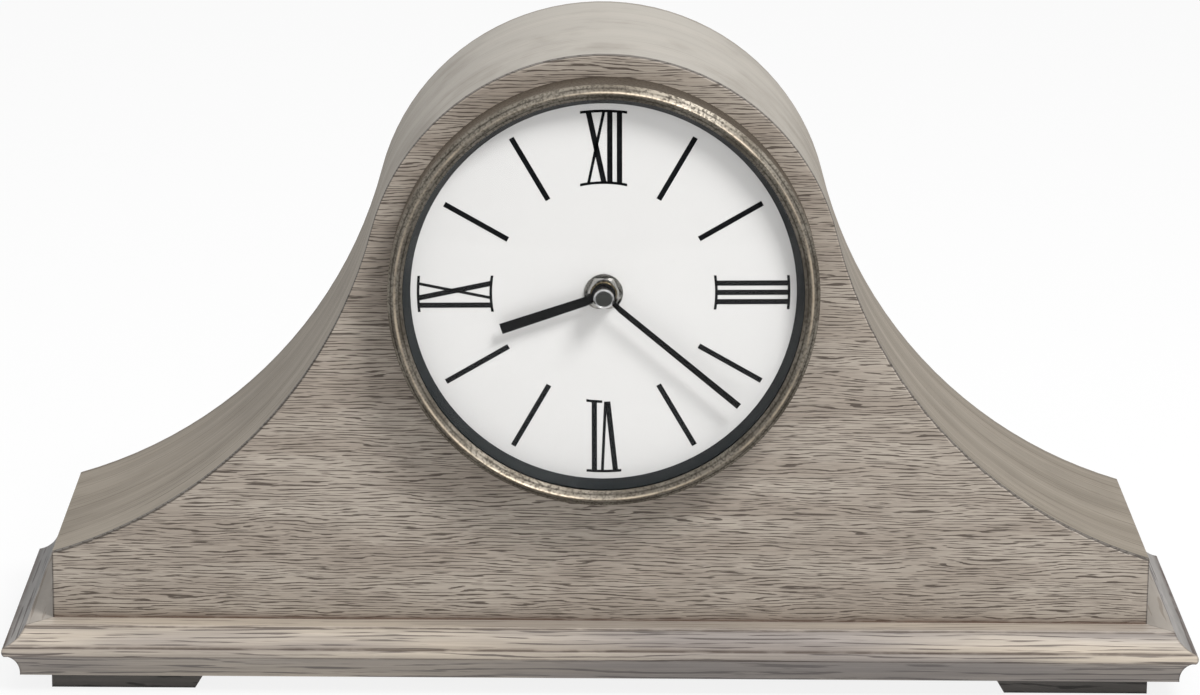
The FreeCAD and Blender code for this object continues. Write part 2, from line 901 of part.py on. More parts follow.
def movement_shell():
    """Front tray of the movement: floor, low walls, screw posts and the wheels' front bearings."""
    tray = movement_prism(0, movement_front, shell_back)
    tray = tray.cut(movement_prism(movement_wall, train_front, shell_back + overrun))
    parts = [tray]
    for place in movement_screw_places():
        parts.append(rod(post_radius, train_front, shell_back, place))
    for place in bridge_posts():
        parts.append(rod(bridge_post_radius, train_front, layer(bridge_layer)[0], place))
    parts.append(pivot_boss(third_place, third_pinion_layer))
    parts.append(pivot_boss(fourth_place, fourth_pinion_layer))
    parts.append(pivot_boss(set_place, motion_layer))
    stud_end = layer(motion_layer)[1] + axial_gap
    parts.append(rod(motion_stud_radius, train_front, stud_end, motion_place))
    cutters = [rod(bush_radius + seat_gap, movement_front - overrun, train_front + overrun)]
    for place in (third_place, fourth_place, set_place):
        cutters.append(rod(pivot_radius + running_gap, train_front, shell_back, place))
    return without(joined(parts), cutters + movement_screw_cutters())


def bay_span():
    """Heights, from the dial's centre, between which a cell bay lies."""
    return (bay_top - bay_length, bay_top)


def movement_cover():
    """Rear cover: walls, cell bays open to the back, a speaker grille and holes for the controls."""
    cover = movement_prism(0, shell_back, movement_back)
    cavity = movement_prism(movement_wall, shell_back - overrun, cover_inside)
    shell = cover.cut(cavity)
    inside = movement_prism(movement_wall, cover_inside - overrun, movement_back + overrun)
    low, high = bay_span()
    parts = [shell]
    cutters = []
    for side in (-1, 1):
        inner = side * partition_out
        wall_edge = side * (partition_out + partition_thickness)
        outer = side * (movement_half_width - movement_wall)
        shelf_foot = dial_z + low - bay_shelf_thickness
        parts.append(block(min(inner, wall_edge), max(inner, wall_edge), shell_back, cover_inside,
                           shelf_foot, dial_z + high))
        parts.append(block(min(inner, outer), max(inner, outer), shell_back, cover_inside,
                           shelf_foot, dial_z + low))
        mouth = block(min(wall_edge, outer), max(wall_edge, outer), cover_inside - overrun,
                      movement_back + overrun, dial_z + low, dial_z + high)
        cutters.append(mouth.common(inside))
    for place in movement_screw_places():
        parts.append(rod(post_radius, shell_back, cover_inside, place))
    for i in range(grille_slot_count):
        out = (i - (grille_slot_count - 1) / 2) * grille_slot_pitch
        reach = math.sqrt((speaker_radius - speaker_flange_width) ** 2 - out ** 2) - grille_slot_width
        cutters.append(block(out - grille_slot_width / 2, out + grille_slot_width / 2,
                             cover_inside - overrun, movement_back + overrun,
                             dial_z + speaker_rise - reach, dial_z + speaker_rise + reach))
    for radius, place in ((set_arbor_radius, set_place), (volume_shaft_radius, volume_place)):
        cutters.append(rod(radius + running_gap, cover_inside - overrun, movement_back + overrun, place))
    for place, travel_low, travel_high in slide_ways():
        half_slot = slide_button_height / 2 + slide_gap
        cutters.append(block(place[0] - slide_button_width / 2 - travel_low - slide_gap,
                             place[0] + slide_button_width / 2 + travel_high + slide_gap,
                             cover_inside - overrun, movement_back + overrun,
                             dial_z + place[1] - half_slot, dial_z + place[1] + half_slot))
    return without(joined(parts), cutters + movement_screw_cutters())


def movement_gasket():
    return tube(gasket_radius, bush_radius + seat_gap, 0, movement_front)


def centre_bush():
    """Threaded tube that clamps the movement to the dial, with a flange inside the front wall."""
    flange_back = train_front + bush_flange_thickness
    barrel = rod(bush_radius, -bush_height, train_front)
    flange = rod(bush_flange_radius, train_front, flange_back)
    bore = rod(bush_bore_radius, -bush_height - overrun, flange_back + overrun)
    return joined([barrel, flange]).cut(bore)


def bush_washer():
    return tube(washer_radius, bush_radius + seat_gap, -dial_height - washer_thickness, -dial_height)


def bush_nut():
    """Hexagon nut with its front corners turned off to a shallow cone."""
    back = -dial_height - washer_thickness
    front = back - nut_thickness
    corner = nut_width / 2 / math.cos(math.pi / NUT_SIDES)
    points = [at_dial(*flat(polar(corner, FULL_TURN * i / NUT_SIDES + QUARTER_TURN), front))
              for i in range(NUT_SIDES)]
    hexagon = Part.Face(Part.makePolygon(points + points[:1])).extrude(Vector(0, nut_thickness, 0))
    bevel = spun([
        (0, back),
        (corner + overrun, back),
        (corner + overrun, front + nut_bevel_height),
        (nut_width / 2, front),
        (0, front),
    ])
    hole = rod(bush_radius + seat_gap, front - overrun, back + overrun)
    return hexagon.common(bevel).cut(hole)


def flat(place, y):
    """Arguments of at_dial for a place and a depth."""
    return (place[0], y, place[1])


# Wheels


def toothed(place, module, teeth, y0, y1, tooth_angle, leaf=False):
    """Toothed disc with straight flanks. One tooth is centred on the given angle."""
    pitch_radius = module * teeth / 2
    tip_radius = pitch_radius + addendum_share * module
    root_radius = pitch_radius - dedendum_share * module
    half_pitch = math.pi * module / 2
    pitch_share, tip_share, root_share = (
        (leaf_pitch_share, leaf_tip_share, leaf_root_share) if leaf
        else (tooth_pitch_share, tooth_tip_share, tooth_root_share))
    stations = [
        (root_radius, -root_share * half_pitch / root_radius),
        (pitch_radius, -pitch_share * half_pitch / pitch_radius),
        (tip_radius, -tip_share * half_pitch / tip_radius),
        (tip_radius, tip_share * half_pitch / tip_radius),
        (pitch_radius, pitch_share * half_pitch / pitch_radius),
        (root_radius, root_share * half_pitch / root_radius),
    ]
    points = []
    for i in range(teeth):
        middle = tooth_angle + FULL_TURN * i / teeth
        for radius, swing in stations:
            points.append(at_dial(*flat(shifted(place, polar(radius, middle + math.degrees(swing))), y0)))
    face = Part.Face(Part.makePolygon(points + points[:1]))
    return face.extrude(Vector(0, y1 - y0, 0))


def shifted(place, step):
    return (place[0] + step[0], place[1] + step[1])


def meshing_angle(teeth, towards):
    """Angle of a tooth when a gap faces a neighbour whose own tooth points here."""
    return towards + FULL_TURN / teeth / 2


def crossing_cutters(place, root_radius, y0, y1):
    """Openings between a wheel's rim and hub that leave three arms."""
    cutters = []
    outer = root_radius * wheel_rim_share
    hub = root_radius * wheel_hub_share + pivot_radius
    ring = tube(outer, hub, y0 - overrun, y1 + overrun, place)
    arm = root_radius * wheel_crossing_share / 2
    for i in range(wheel_crossings):
        start = FULL_TURN * i / wheel_crossings
        wedge = Part.makeCylinder(root_radius, y1 - y0 + 2 * overrun, at_dial(*flat(place, y0 - overrun)),
                                  Vector(0, 1, 0), FULL_TURN / wheel_crossings)
        wedge.rotate(at_dial(*flat(place, 0)), Vector(0, 1, 0), start)
        cutters.append(ring.common(wedge).cut(arm_blocks(place, arm, root_radius, y0, y1)))
    return cutters


def arm_blocks(place, arm, reach, y0, y1):
    """Bars that keep the arms out of the openings."""
    blocks = []
    for i in range(wheel_crossings):
        bar = Part.makeBox(reach, y1 - y0 + 4 * overrun, 2 * arm,
                           at_dial(place[0], y0 - 2 * overrun, place[1] - arm))
        bar.rotate(at_dial(*flat(place, 0)), Vector(0, 1, 0), FULL_TURN * i / wheel_crossings)
        blocks.append(bar)
    return blocks


def hour_wheel():
    """Hour pipe through the bush, with its wheel against the inside of the front wall."""
    y0, y1 = layer(hour_layer)
    wheel = toothed((0, 0), hour_module, hour_teeth, y0, y1, meshing_angle(hour_teeth, -QUARTER_TURN))
    pipe = rod(bush_bore_radius - running_gap, -pipe_height, y1)
    bore = rod(pipe_bore_radius, -pipe_height - overrun, y1 + overrun)
    return joined([wheel, pipe]).cut(bore)


def motion_wheel():
    """Idler on a stud under the centre: its wheel meets the cannon pinion, its pinion the hour wheel."""
    y0, y1 = layer(motion_layer)
    p0, p1 = layer(motion_pinion_layer)
    wheel = toothed(motion_place, motion_module, motion_teeth, y0, y1, QUARTER_TURN)
    pinion = toothed(motion_place, hour_module, motion_pinion_teeth, p0, p1, QUARTER_TURN, leaf=True)
    bore = rod(motion_stud_radius + running_gap, p0 - overrun, y1 + overrun, motion_place)
    return joined([wheel, pinion]).cut(bore)


def minute_arbor():
    """Arbor through the hour pipe: cannon pinion behind, threaded stud for the minute hand in front."""
    c0, c1 = layer(cannon_layer)
    shoulder = -(minute_boss_height - minute_boss_thickness)
    w1 = layer(centre_layer)[1]
    bridge_back = layer(bridge_layer)[1]
    leaf_angle = meshing_angle(cannon_teeth, -QUARTER_TURN)
    return joined([
        rod(minute_stud_radius, -minute_stud_height, shoulder),
        rod(pipe_bore_radius - running_gap, shoulder, w1),
        toothed((0, 0), motion_module, cannon_teeth, c0, c1, leaf_angle, leaf=True),
        rod(centre_pivot_radius, w1, bridge_back),
    ])


def centre_wheel():
    y0, y1 = layer(centre_layer)
    wheel = toothed((0, 0), third_module, centre_teeth, y0, y1, third_wheel_angle)
    return wheel.cut(rod(pipe_bore_radius - running_gap + seat_gap, y0 - overrun, y1 + overrun))


def train_wheel(place, pinion_module, pinion_teeth, pinion_layer, pinion_angle,
                wheel_module, wheel_teeth, wheel_layer, wheel_angle):
    """Wheel and pinion on one arbor, with a pivot at each end."""
    p0, p1 = layer(pinion_layer)
    w0, w1 = layer(wheel_layer)
    wheel = toothed(place, wheel_module, wheel_teeth, w0, w1, wheel_angle)
    root_radius = wheel_module * (wheel_teeth / 2 - dedendum_share)
    wheel = wheel.cut(crossing_cutters(place, root_radius, w0, w1))
    pinion = toothed(place, pinion_module, pinion_teeth, p0, p1, pinion_angle, leaf=True)
    front_pivot = p0 - axial_gap - pivot_boss_radius
    bridge_front, bridge_back = layer(bridge_layer)
    return joined([
        rod(pivot_radius, front_pivot, p0, place),
        pinion,
        wheel,
        rod(arbor_radius, min(p1, w0), bridge_front - axial_gap / 2, place),
        rod(pivot_radius, bridge_front - axial_gap, bridge_back, place),
    ])


def third_wheel():
    back = third_wheel_angle + 2 * QUARTER_TURN
    return train_wheel(third_place, third_module, third_pinion_teeth, third_pinion_layer,
                       meshing_angle(third_pinion_teeth, back),
                       fourth_module, third_teeth, third_layer, fourth_wheel_angle)


def fourth_wheel():
    back = fourth_wheel_angle + 2 * QUARTER_TURN
    return train_wheel(fourth_place, fourth_module, fourth_pinion_teeth, fourth_pinion_layer,
                       meshing_angle(fourth_pinion_teeth, back),
                       fourth_module, fourth_teeth, fourth_layer, QUARTER_TURN)


def train_bridge():
    """Plate on four posts that carries the back pivots."""
    y0, y1 = layer(bridge_layer)
    plate = block(-bridge_half_width, bridge_half_width, y0, y1, dial_z - bridge_low, dial_z + bridge_high)
    holes = [rod(centre_pivot_radius + running_gap, y0 - overrun, y1 + overrun)]
    for place in (third_place, fourth_place):
        holes.append(rod(pivot_radius + running_gap, y0 - overrun, y1 + overrun, place))
    return without(plate, holes)


# Hands


def hand_bar(angle, root_width, tip_width, length, y):
    """Flat bar from the hub that widens to a square tip, at a clockwise angle from twelve."""
    turn = math.radians(angle)
    along = (math.sin(turn), math.cos(turn))
    across = (math.cos(turn), -math.sin(turn))
    corners = []
    for reach, half in ((0, root_width / 2), (length, tip_width / 2), (length, -tip_width / 2),
                        (0, -root_width / 2)):
        corners.append(at_dial(along[0] * reach + across[0] * half, y, along[1] * reach + across[1] * half))
    return Part.Face(Part.makePolygon(corners + corners[:1])).extrude(Vector(0, hand_thickness, 0))


def hour_hand():
    boss_front = -hour_boss_height
    bar_y = boss_front + (hour_boss_thickness - hand_thickness) / 2
    boss = rod(hour_boss_radius, boss_front, boss_front + hour_boss_thickness)
    bar = hand_bar(hour_hand_angle, hour_hand_root_width, hour_hand_tip_width, hour_hand_length, bar_y)
    bore = rod(bush_bore_radius - running_gap + seat_gap, boss_front - overrun, 0)
    return joined([boss, bar]).cut(bore)


def minute_hand():
    boss_front = -minute_boss_height
    boss = rod(minute_boss_radius, boss_front, boss_front + minute_boss_thickness)
    bar = hand_bar(minute_hand_angle, minute_hand_root_width, minute_hand_tip_width, minute_hand_length,
                   boss_front)
    bore = rod(minute_stud_radius + seat_gap, boss_front - overrun, 0)
    return joined([boss, bar]).cut(bore)


def hand_nut():
    """Round cap nut with a bevelled rim round a sunk face."""
    back = -minute_boss_height
    front = -hand_nut_height
    inner = hand_nut_radius - hand_nut_bevel
    hole = minute_stud_radius + seat_gap
    hole_end = -minute_stud_height - axial_gap
    return spun([
        (hole, back),
        (hand_nut_radius, back),
        (hand_nut_radius, front + hand_nut_bevel),
        (inner, front),
        (inner - hand_nut_face_depth, front + hand_nut_face_depth),
        (0, front + hand_nut_face_depth),
        (0, hole_end),
        (hole, hole_end),
    ])


# Motor, circuit board and speaker


def motor_mesh_y():
    """Depths of the slot in the motor case that the fourth wheel's rim runs in."""
    y0, y1 = layer(fourth_layer)
    return (y0 - air_gap, y1 + air_gap)


def motor_foot_rise():
    """Height of the motor case's foot over the dial's centre: the fourth wheel dips into it."""
    rim = fourth_module * (fourth_teeth / 2 + addendum_share)
    return fourth_place[1] + rim - motor_mesh_depth


def step_motor():
    """Closed motor case whose slot takes the fourth wheel's rim."""
    slot_front, slot_back = motor_mesh_y()
    case_back = slot_back + movement_wall / 2
    foot_rise = motor_foot_rise()
    case = block(-motor_left, -motor_left + motor_width, case_back - motor_depth, case_back,
                 dial_z + foot_rise, dial_z + foot_rise + motor_height)
    rim = fourth_module * (fourth_teeth / 2 + addendum_share) + air_gap
    return case.cut(rod(rim, slot_front, slot_back, fourth_place))


def motor_coil():
    """Wound bobbin that stands beside the motor case."""
    slot_back = motor_mesh_y()[1]
    y = slot_back + movement_wall / 2 - coil_flange_radius
    low = dial_z + motor_foot_rise()
    core = Part.makeCylinder(coil_radius, coil_length, Vector(coil_out, y, low))
    flanges = [Part.makeCylinder(coil_flange_radius, coil_flange_thickness, Vector(coil_out, y, z))
               for z in (low, low + coil_length - coil_flange_thickness)]
    return joined([core] + flanges)


def circuit_board():
    """Board over the wheel bridge, drilled for the setting arbor, with the resonator's can on it."""
    half_board = partition_out - board_side_gap
    board = block(-half_board, half_board, board_front, board_front + board_thickness,
                  dial_z - board_low, dial_z + board_high)
    hole = rod(set_arbor_radius + air_gap, board_front - overrun,
               board_front + board_thickness + overrun, set_place)
    can = Part.makeCylinder(quartz_can_radius, quartz_can_length,
                            Vector(quartz_can_out, board_front + board_thickness,
                                   dial_z - quartz_can_low - quartz_can_length))
    return joined([board.cut(hole), can])


def speaker_place():
    return (0, speaker_rise)


def speaker_frame():
    """Pressed basket: a flange against the grille, a sloping wall and a back plate."""
    flange_y = cover_inside
    plate_y = cover_inside - speaker_depth + speaker_magnet_thickness
    lip = speaker_radius - speaker_flange_width
    foot = speaker_magnet_radius
    return spun([
        (0, plate_y),
        (foot, plate_y),
        (lip + speaker_wall, flange_y - speaker_flange_thickness),
        (speaker_radius, flange_y - speaker_flange_thickness),
        (speaker_radius, flange_y),
        (lip, flange_y),
        (foot - speaker_wall, plate_y + speaker_wall),
        (0, plate_y + speaker_wall),
    ], speaker_place())


def speaker_magnet():
    back = cover_inside - speaker_depth + speaker_magnet_thickness
    return rod(speaker_magnet_radius, back - speaker_magnet_thickness, back, speaker_place())


def speaker_cone():
    """Paper cone with a round dust cap, hung from the flange."""
    plate_y = cover_inside - speaker_depth + speaker_magnet_thickness + speaker_wall
    lip = speaker_radius - speaker_flange_width
    throat = speaker_magnet_radius - speaker_wall
    edge = lip - speaker_cone_rim
    wall_y = plate_y + (cover_inside - plate_y) * (edge - throat) / (lip - throat)
    front = wall_y + running_gap
    centre = plate_y + speaker_cone_thickness
    return spun([
        (0, centre),
        (speaker_cap_radius, centre),
        (edge, front),
        (edge, front + speaker_cone_thickness),
        (speaker_cap_radius, centre + speaker_cone_thickness),
        (0, centre + speaker_cone_thickness + speaker_cap_rise),
    ], speaker_place())


# Cells and contacts


def cell(side):
    """Round cell, its positive nub up against the upper contact."""
    top = dial_z + bay_top - contact_thickness
    shoulder = top - cell_nub_length
    can_foot = Vector(side * cell_out, cell_y, shoulder - cell_length)
    can = Part.makeCylinder(cell_radius, cell_length, can_foot)
    can = can.makeFillet(cell_edge_round, [edge for edge in can.Edges if len(edge.Vertexes) == 1])
    nub = Part.makeCylinder(cell_nub_radius, cell_nub_length, Vector(side * cell_out, cell_y, shoulder))
    return joined([can, nub])


def cell_contacts():
    """Flat contacts at the bays' tops and bent leaf contacts under the cells."""
    shapes = []
    for side in (-1, 1):
        x = side * cell_out
        top = dial_z + bay_top
        low = dial_z + bay_span()[0]
        y0 = cell_y - contact_depth / 2
        shapes.append(block(x - contact_width / 2, x + contact_width / 2, y0, y0 + contact_depth,
                            top - contact_thickness, top))
        crest = top - contact_thickness - cell_nub_length - cell_length
        span = contact_spring_half_span
        rise = crest - low - contact_thickness
        corners = [
            Vector(x - contact_width / 2, y0, low),
            Vector(x - contact_width / 2, y0 + contact_depth, low),
            Vector(x - contact_width / 2, y0 + contact_depth, low + contact_thickness),
            Vector(x - contact_width / 2, cell_y + span, low + contact_thickness),
            Vector(x - contact_width / 2, cell_y + contact_thickness, low + contact_thickness + rise),
            Vector(x - contact_width / 2, cell_y - contact_thickness, low + contact_thickness + rise),
            Vector(x - contact_width / 2, cell_y - span, low + contact_thickness),
            Vector(x - contact_width / 2, y0, low + contact_thickness),
        ]
        leaf = Part.Face(Part.makePolygon(corners + corners[:1])).extrude(Vector(contact_width, 0, 0))
        shapes.append(leaf)
    return Part.makeCompound(shapes)


# Controls


def fluted(knob, place, radius, flutes, flute_radius):
    """Knob with finger flutes cut round its edge."""
    y0, y1 = knob.BoundBox.YMin, knob.BoundBox.YMax
    cutters = []
    for i in range(flutes):
        cutters.append(rod(flute_radius, y0 - overrun, y1 + overrun,
                           shifted(place, polar(radius + flute_radius / 2, FULL_TURN * i / flutes))))
    return knob.cut(cutters)


def set_knob():
    """Setting knob pressed on its arbor."""
    y0 = movement_back + knob_lift
    knob = rod(set_knob_radius, y0, y0 + set_knob_height, set_place)
    bore = rod(set_arbor_radius + seat_gap, y0 - overrun, y0 + set_knob_height / 2, set_place)
    return fluted(knob, set_place, set_knob_radius, set_knob_flutes, set_knob_flute_radius).cut(bore)


def set_arbor():
    """Long arbor from the setting knob to a pinion that meets the motion wheel."""
    y0, y1 = layer(motion_layer)
    front_pivot = y0 - axial_gap - pivot_boss_radius
    leaf_angle = meshing_angle(cannon_teeth, QUARTER_TURN)
    return joined([
        rod(pivot_radius, front_pivot, y0, set_place),
        toothed(set_place, motion_module, cannon_teeth, y0, y1, leaf_angle, leaf=True),
        rod(set_arbor_radius, y1, movement_back + knob_lift + set_knob_height / 2, set_place),
    ])


def volume_knob():
    """Volume wheel moulded in one with its shaft."""
    y0 = movement_back + knob_lift
    wheel = fluted(rod(volume_knob_radius, y0, y0 + volume_knob_height, volume_place), volume_place,
                   volume_knob_radius, volume_knob_flutes, volume_knob_flute_radius)
    shaft = rod(volume_shaft_radius, cover_inside - switch_height / 2, y0, volume_place)
    return joined([wheel, shaft])


def volume_control():
    """Rotary control behind the cover, bored for the volume shaft."""
    x, rise = volume_place
    y1 = cover_inside - slide_gap
    half = control_width / 2
    case = block(x - half, x + half, y1 - switch_height, y1, dial_z + rise - half, dial_z + rise + half)
    return case.cut(rod(volume_shaft_radius + running_gap, cover_inside - switch_height / 2 - axial_gap,
                        cover_inside + overrun, volume_place))


def slide_ways():
    """Place of each slide and how far it goes to the left and to the right."""
    return [(slide_place_melody, melody_travel, melody_travel), (slide_place_night, 0, night_travel)]


def slide_foot_halves():
    """Half the width and half the height of a slide's foot, which is wider than its button all round."""
    return (slide_button_width / 2 + slide_foot_margin, slide_button_height / 2 + slide_foot_lip)


def slide(place):
    """Slide button whose foot runs between the cover and its switch."""
    x, z = place[0], dial_z + place[1]
    half_button, half_height = slide_button_width / 2, slide_button_height / 2
    half_foot, half_foot_height = slide_foot_halves()
    foot_back = cover_inside - slide_gap
    button = block(x - half_button, x + half_button, foot_back, movement_back + slide_button_stand,
                   z - half_height, z + half_height)
    base = block(x - half_foot, x + half_foot, foot_back - slide_foot_thickness, foot_back,
                 z - half_foot_height, z + half_foot_height)
    return joined([button, base])


def slide_switch(place, travel_low, travel_high):
    """Closed switch body under a slide's foot."""
    half_foot, half_foot_height = slide_foot_halves()
    y1 = cover_inside - 2 * slide_gap - slide_foot_thickness
    return block(place[0] - half_foot - travel_low, place[0] + half_foot + travel_high,
                 y1 - switch_height, y1, dial_z + place[1] - half_foot_height,
                 dial_z + place[1] + half_foot_height)


def slide_switches():
    return Part.makeCompound([slide_switch(*way) for way in slide_ways()])


# Writing the pieces


def write(name, shape):
    placed = shape.copy()
    placed.translate(Vector(0, -middle_y, 0))
    placed.exportStep(os.path.join("parts", name + ".step"))


def pieces():
    """Every piece of the clock by name."""
    named = {
        "front_panel": front_panel(),
        "roof_skin": roof_skin(),
        "back_panel": back_panel(),
        "base_rail_front": base_rail_front(),
        "base_rail_back": base_rail_back(),
        "base_board": base_board(),
        "feet_front": feet(True),
        "feet_back": feet(False),
        "base_screws": base_screws(),
        "back_door": back_door(),
        "catch_magnet": catch_magnet(),
        "catch_plate": catch_plate(),
        "bezel": bezel(),
        "bezel_screws": bezel_screws(),
        "crystal": crystal(),
        "dial_surround": dial_surround(),
        "dial_plate": dial_plate(),
        "dial_backer": dial_backer(),
        "movement_gasket": movement_gasket(),
        "movement_shell": movement_shell(),
        "movement_cover": movement_cover(),
        "movement_screws": movement_screws(),
        "centre_bush": centre_bush(),
        "bush_washer": bush_washer(),
        "bush_nut": bush_nut(),
        "hinge_pins": hinge_pins(),
        "hour_wheel": hour_wheel(),
        "hour_hand": hour_hand(),
        "minute_arbor": minute_arbor(),
        "centre_wheel": centre_wheel(),
        "minute_hand": minute_hand(),
        "hand_nut": hand_nut(),
        "motion_wheel": motion_wheel(),
        "third_wheel": third_wheel(),
        "fourth_wheel": fourth_wheel(),
        "train_bridge": train_bridge(),
        "step_motor": step_motor(),
        "motor_coil": motor_coil(),
        "circuit_board": circuit_board(),
        "speaker_frame": speaker_frame(),
        "speaker_magnet": speaker_magnet(),
        "speaker_cone": speaker_cone(),
        "cell_contacts": cell_contacts(),
        "set_knob": set_knob(),
        "set_arbor": set_arbor(),
        "volume_knob": volume_knob(),
        "volume_control": volume_control(),
        "melody_slide": slide(slide_place_melody),
        "night_slide": slide(slide_place_night),
        "slide_switches": slide_switches(),
    }
    for side, name in ((-1, "left"), (1, "right")):
        named["end_panel_" + name] = end_panel(side)
        named["base_rail_" + name] = base_rail_side(side)
        named["cell_" + name] = cell(side)
    for number, name in enumerate(("lower", "upper")):
        named["hinge_" + name + "_case_leaf"] = hinge_case_leaf(number)
        named["hinge_" + name + "_door_leaf"] = hinge_door_leaf(number)
    return named


os.makedirs("parts", exist_ok=True)
for piece_name, piece_shape in pieces().items():
    write(piece_name, piece_shape)
    print(piece_name, len(piece_shape.Solids), round(piece_shape.Volume, 1), piece_shape.isValid())
print("depth", round(front_reach + back_reach, 2), "middle", round(middle_y, 3))
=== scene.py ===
import math

import bpy
from mathutils import Matrix, Vector


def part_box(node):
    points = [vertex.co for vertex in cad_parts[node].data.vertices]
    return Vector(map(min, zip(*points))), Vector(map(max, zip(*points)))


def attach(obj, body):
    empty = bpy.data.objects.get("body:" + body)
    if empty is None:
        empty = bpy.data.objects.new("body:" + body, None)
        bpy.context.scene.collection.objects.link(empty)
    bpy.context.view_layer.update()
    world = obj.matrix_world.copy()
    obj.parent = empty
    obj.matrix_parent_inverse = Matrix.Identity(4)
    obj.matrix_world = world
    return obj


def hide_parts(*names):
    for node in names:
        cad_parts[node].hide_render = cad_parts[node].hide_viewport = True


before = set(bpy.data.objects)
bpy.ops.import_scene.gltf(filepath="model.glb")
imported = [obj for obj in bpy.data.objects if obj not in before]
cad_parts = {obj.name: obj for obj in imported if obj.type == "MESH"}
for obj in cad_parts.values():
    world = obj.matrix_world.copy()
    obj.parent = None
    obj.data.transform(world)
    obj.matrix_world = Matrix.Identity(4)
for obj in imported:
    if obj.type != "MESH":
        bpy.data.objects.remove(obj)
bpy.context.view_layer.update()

# Tambour shelf clock in weathered grey oak, with a nickel bezel and an off-white dial.
# All lengths are in metres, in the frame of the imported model. Angles are in degrees.

# Dial marks. The printed sheet sits a little anticlockwise of upright
dial_turn = -0.6
hour_angle = 30
tick_inner = 0.0414
tick_outer = 0.0687
tick_width = 0.0020
numeral_inner = 0.0424
numeral_outer = 0.0697
serif_thickness = 0.0010
thick_stroke = 0.0020
thin_stroke = 0.0011
print_thickness = 0.00006
arc_steps = 12

# Places of strokes and serifs across each numeral, seen with its foot towards the dial's centre
twelve_x = (-0.0056, 0.0002)
twelve_bars = (0.0024, 0.0060)
twelve_serifs = (-0.0087, 0.0089)
three_bars = (-0.0036, 0.0000, 0.0036)
three_serifs = (-0.0066, 0.0066)
six_v = (-0.0044, -0.0012, 0.0006)
six_bar = 0.0036
six_outer_serif = (-0.0066, 0.0066)
six_inner_serif = (0.0006, 0.0066)
nine_bar = -0.0046
nine_x = (-0.0018, 0.0038)
nine_serifs = (-0.0072, 0.0068)

# Bush thread
thread_pitch = 0.00019
thread_depth = 0.00012
thread_core = 0.0047
thread_end_share = 0.05
thread_steps = 40

# Nut on the bush. The cone that turns its corners off starts further back at a corner
nut_bore = 0.0047
nut_mouth = 0.0051
nut_mouth_depth = 0.0005
nut_face_share = 0.97
nut_cone_depth = 0.0011
nut_cone_rise = 0.0009
nut_side_angle = 60
nut_steps = 72

# Hinge screws
leaf_thickness = 0.001
screw_radius = 0.0021
screw_height = 0.0005
screw_wall_share = 0.5
screw_top_share = 0.8
screw_slot = 0.0006
slot_length_share = 0.9
slot_floor_share = 0.25
screw_edge = 0.006
screw_shares = (0.2, 0.8)
screw_turn = 37
screw_steps = 12

# Relief of the finishes
pore_relief = 0.00012
pit_relief = 0.00004
dial_relief = 0.00002
moulded_relief = 0.00003

# Glaze line where the front panel meets the roof, in depths behind the panel's face
edge_line_rise = (0.00005, 0.0003)
edge_line_fall = (0.0022, 0.0030)

# Glaze line at the front panel's ends: where it starts and is full, and the depths where it fades
end_line_rise = (-0.0009, -0.0002)
end_line_fall = (0.0006, 0.0012)

# Width and strength of the two lines that lie over each other along the panel's foot
foot_lines = ((0.0035, 0.4), (0.0014, 0.8))

# Roof: height where its crown turns pale with a painted highlight, joint with the front panel, and shade at
# the back
crown_highlight_start = 0.160
roof_joint_fall = (0.0022, 0.0034)
roof_back_shade = 0.004

# Moulding: drops of its lines under the ledge, which are painted shade, and where its parts blend into each
# other, among them its painted shade underneath and its painted highlight on the ledge
line_width = 0.0006
nose_low_width = 0.00084
cove_line_drop = 0.0005
nose_top_drop = 0.0068
nose_low_drop = 0.0105
under_blend = (-0.001, 0.001)
ledge_highlight = (-0.0012, -0.0004)
mitre_width = 0.0009
mitre_fade = 0.01

# Height of the painted shade that darkens the sole of the feet
sole_height = 0.0012

# Bezel: its wall in front of the panel, browned partly by painted reflection of the wood, and the seam and
# the worn ridge with its painted highlight behind its front
bezel_wall = (-0.0155, -0.0140)
bezel_seam_depth = 0.0012
bezel_seam_width = 0.0004
bezel_ridge_depth = 0.0006

# Dark face of the cap nut: the radii where it ends, and the depths where it fades
cap_face_edge = (0.00300, 0.00325)
cap_face_fall = (0.0012, 0.0016)

# Camera, measured from the middle of the front panel's face at floor level. Its lens and sensor
# are in millimetres
camera_place = (-0.01483, -1.69662, 0.57966)
camera_yaw = -0.463
camera_pitch = 14.673
camera_roll = -0.511
camera_lens = 138.82
sensor_width = 36.0

# Light
world_strength = 0.48
key_place = (0.90, -1.10, 1.80)
key_size = 0.65
key_power = 41.0
top_place = (-0.35, 0.25, 2.0)
top_size = 1.2
top_power = 9.0
lamp_target = (0, 0, 0.1)

# Floor, the share of it that is seen plain white, and the dark card
floor_half = 6.0
floor_white_share = 0.86
flag_distance = 2.3
flag_width = 3.6
flag_height = 1.5

# Places read from the frame
panel_low, panel_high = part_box("front_panel")
dial_low, dial_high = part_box("dial_plate")
rail_low, rail_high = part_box("base_rail_front")
nut_low, nut_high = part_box("bush_nut")
cap_low, cap_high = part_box("hand_nut")
roof_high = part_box("roof_skin")[1]
bush_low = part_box("centre_bush")[0]
bezel_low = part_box("bezel")[0]
dial_centre = Vector((0, dial_low.y, (dial_low.z + dial_high.z) / 2))
ledge_z = rail_high.z
face_y = panel_low.y


# Node helpers


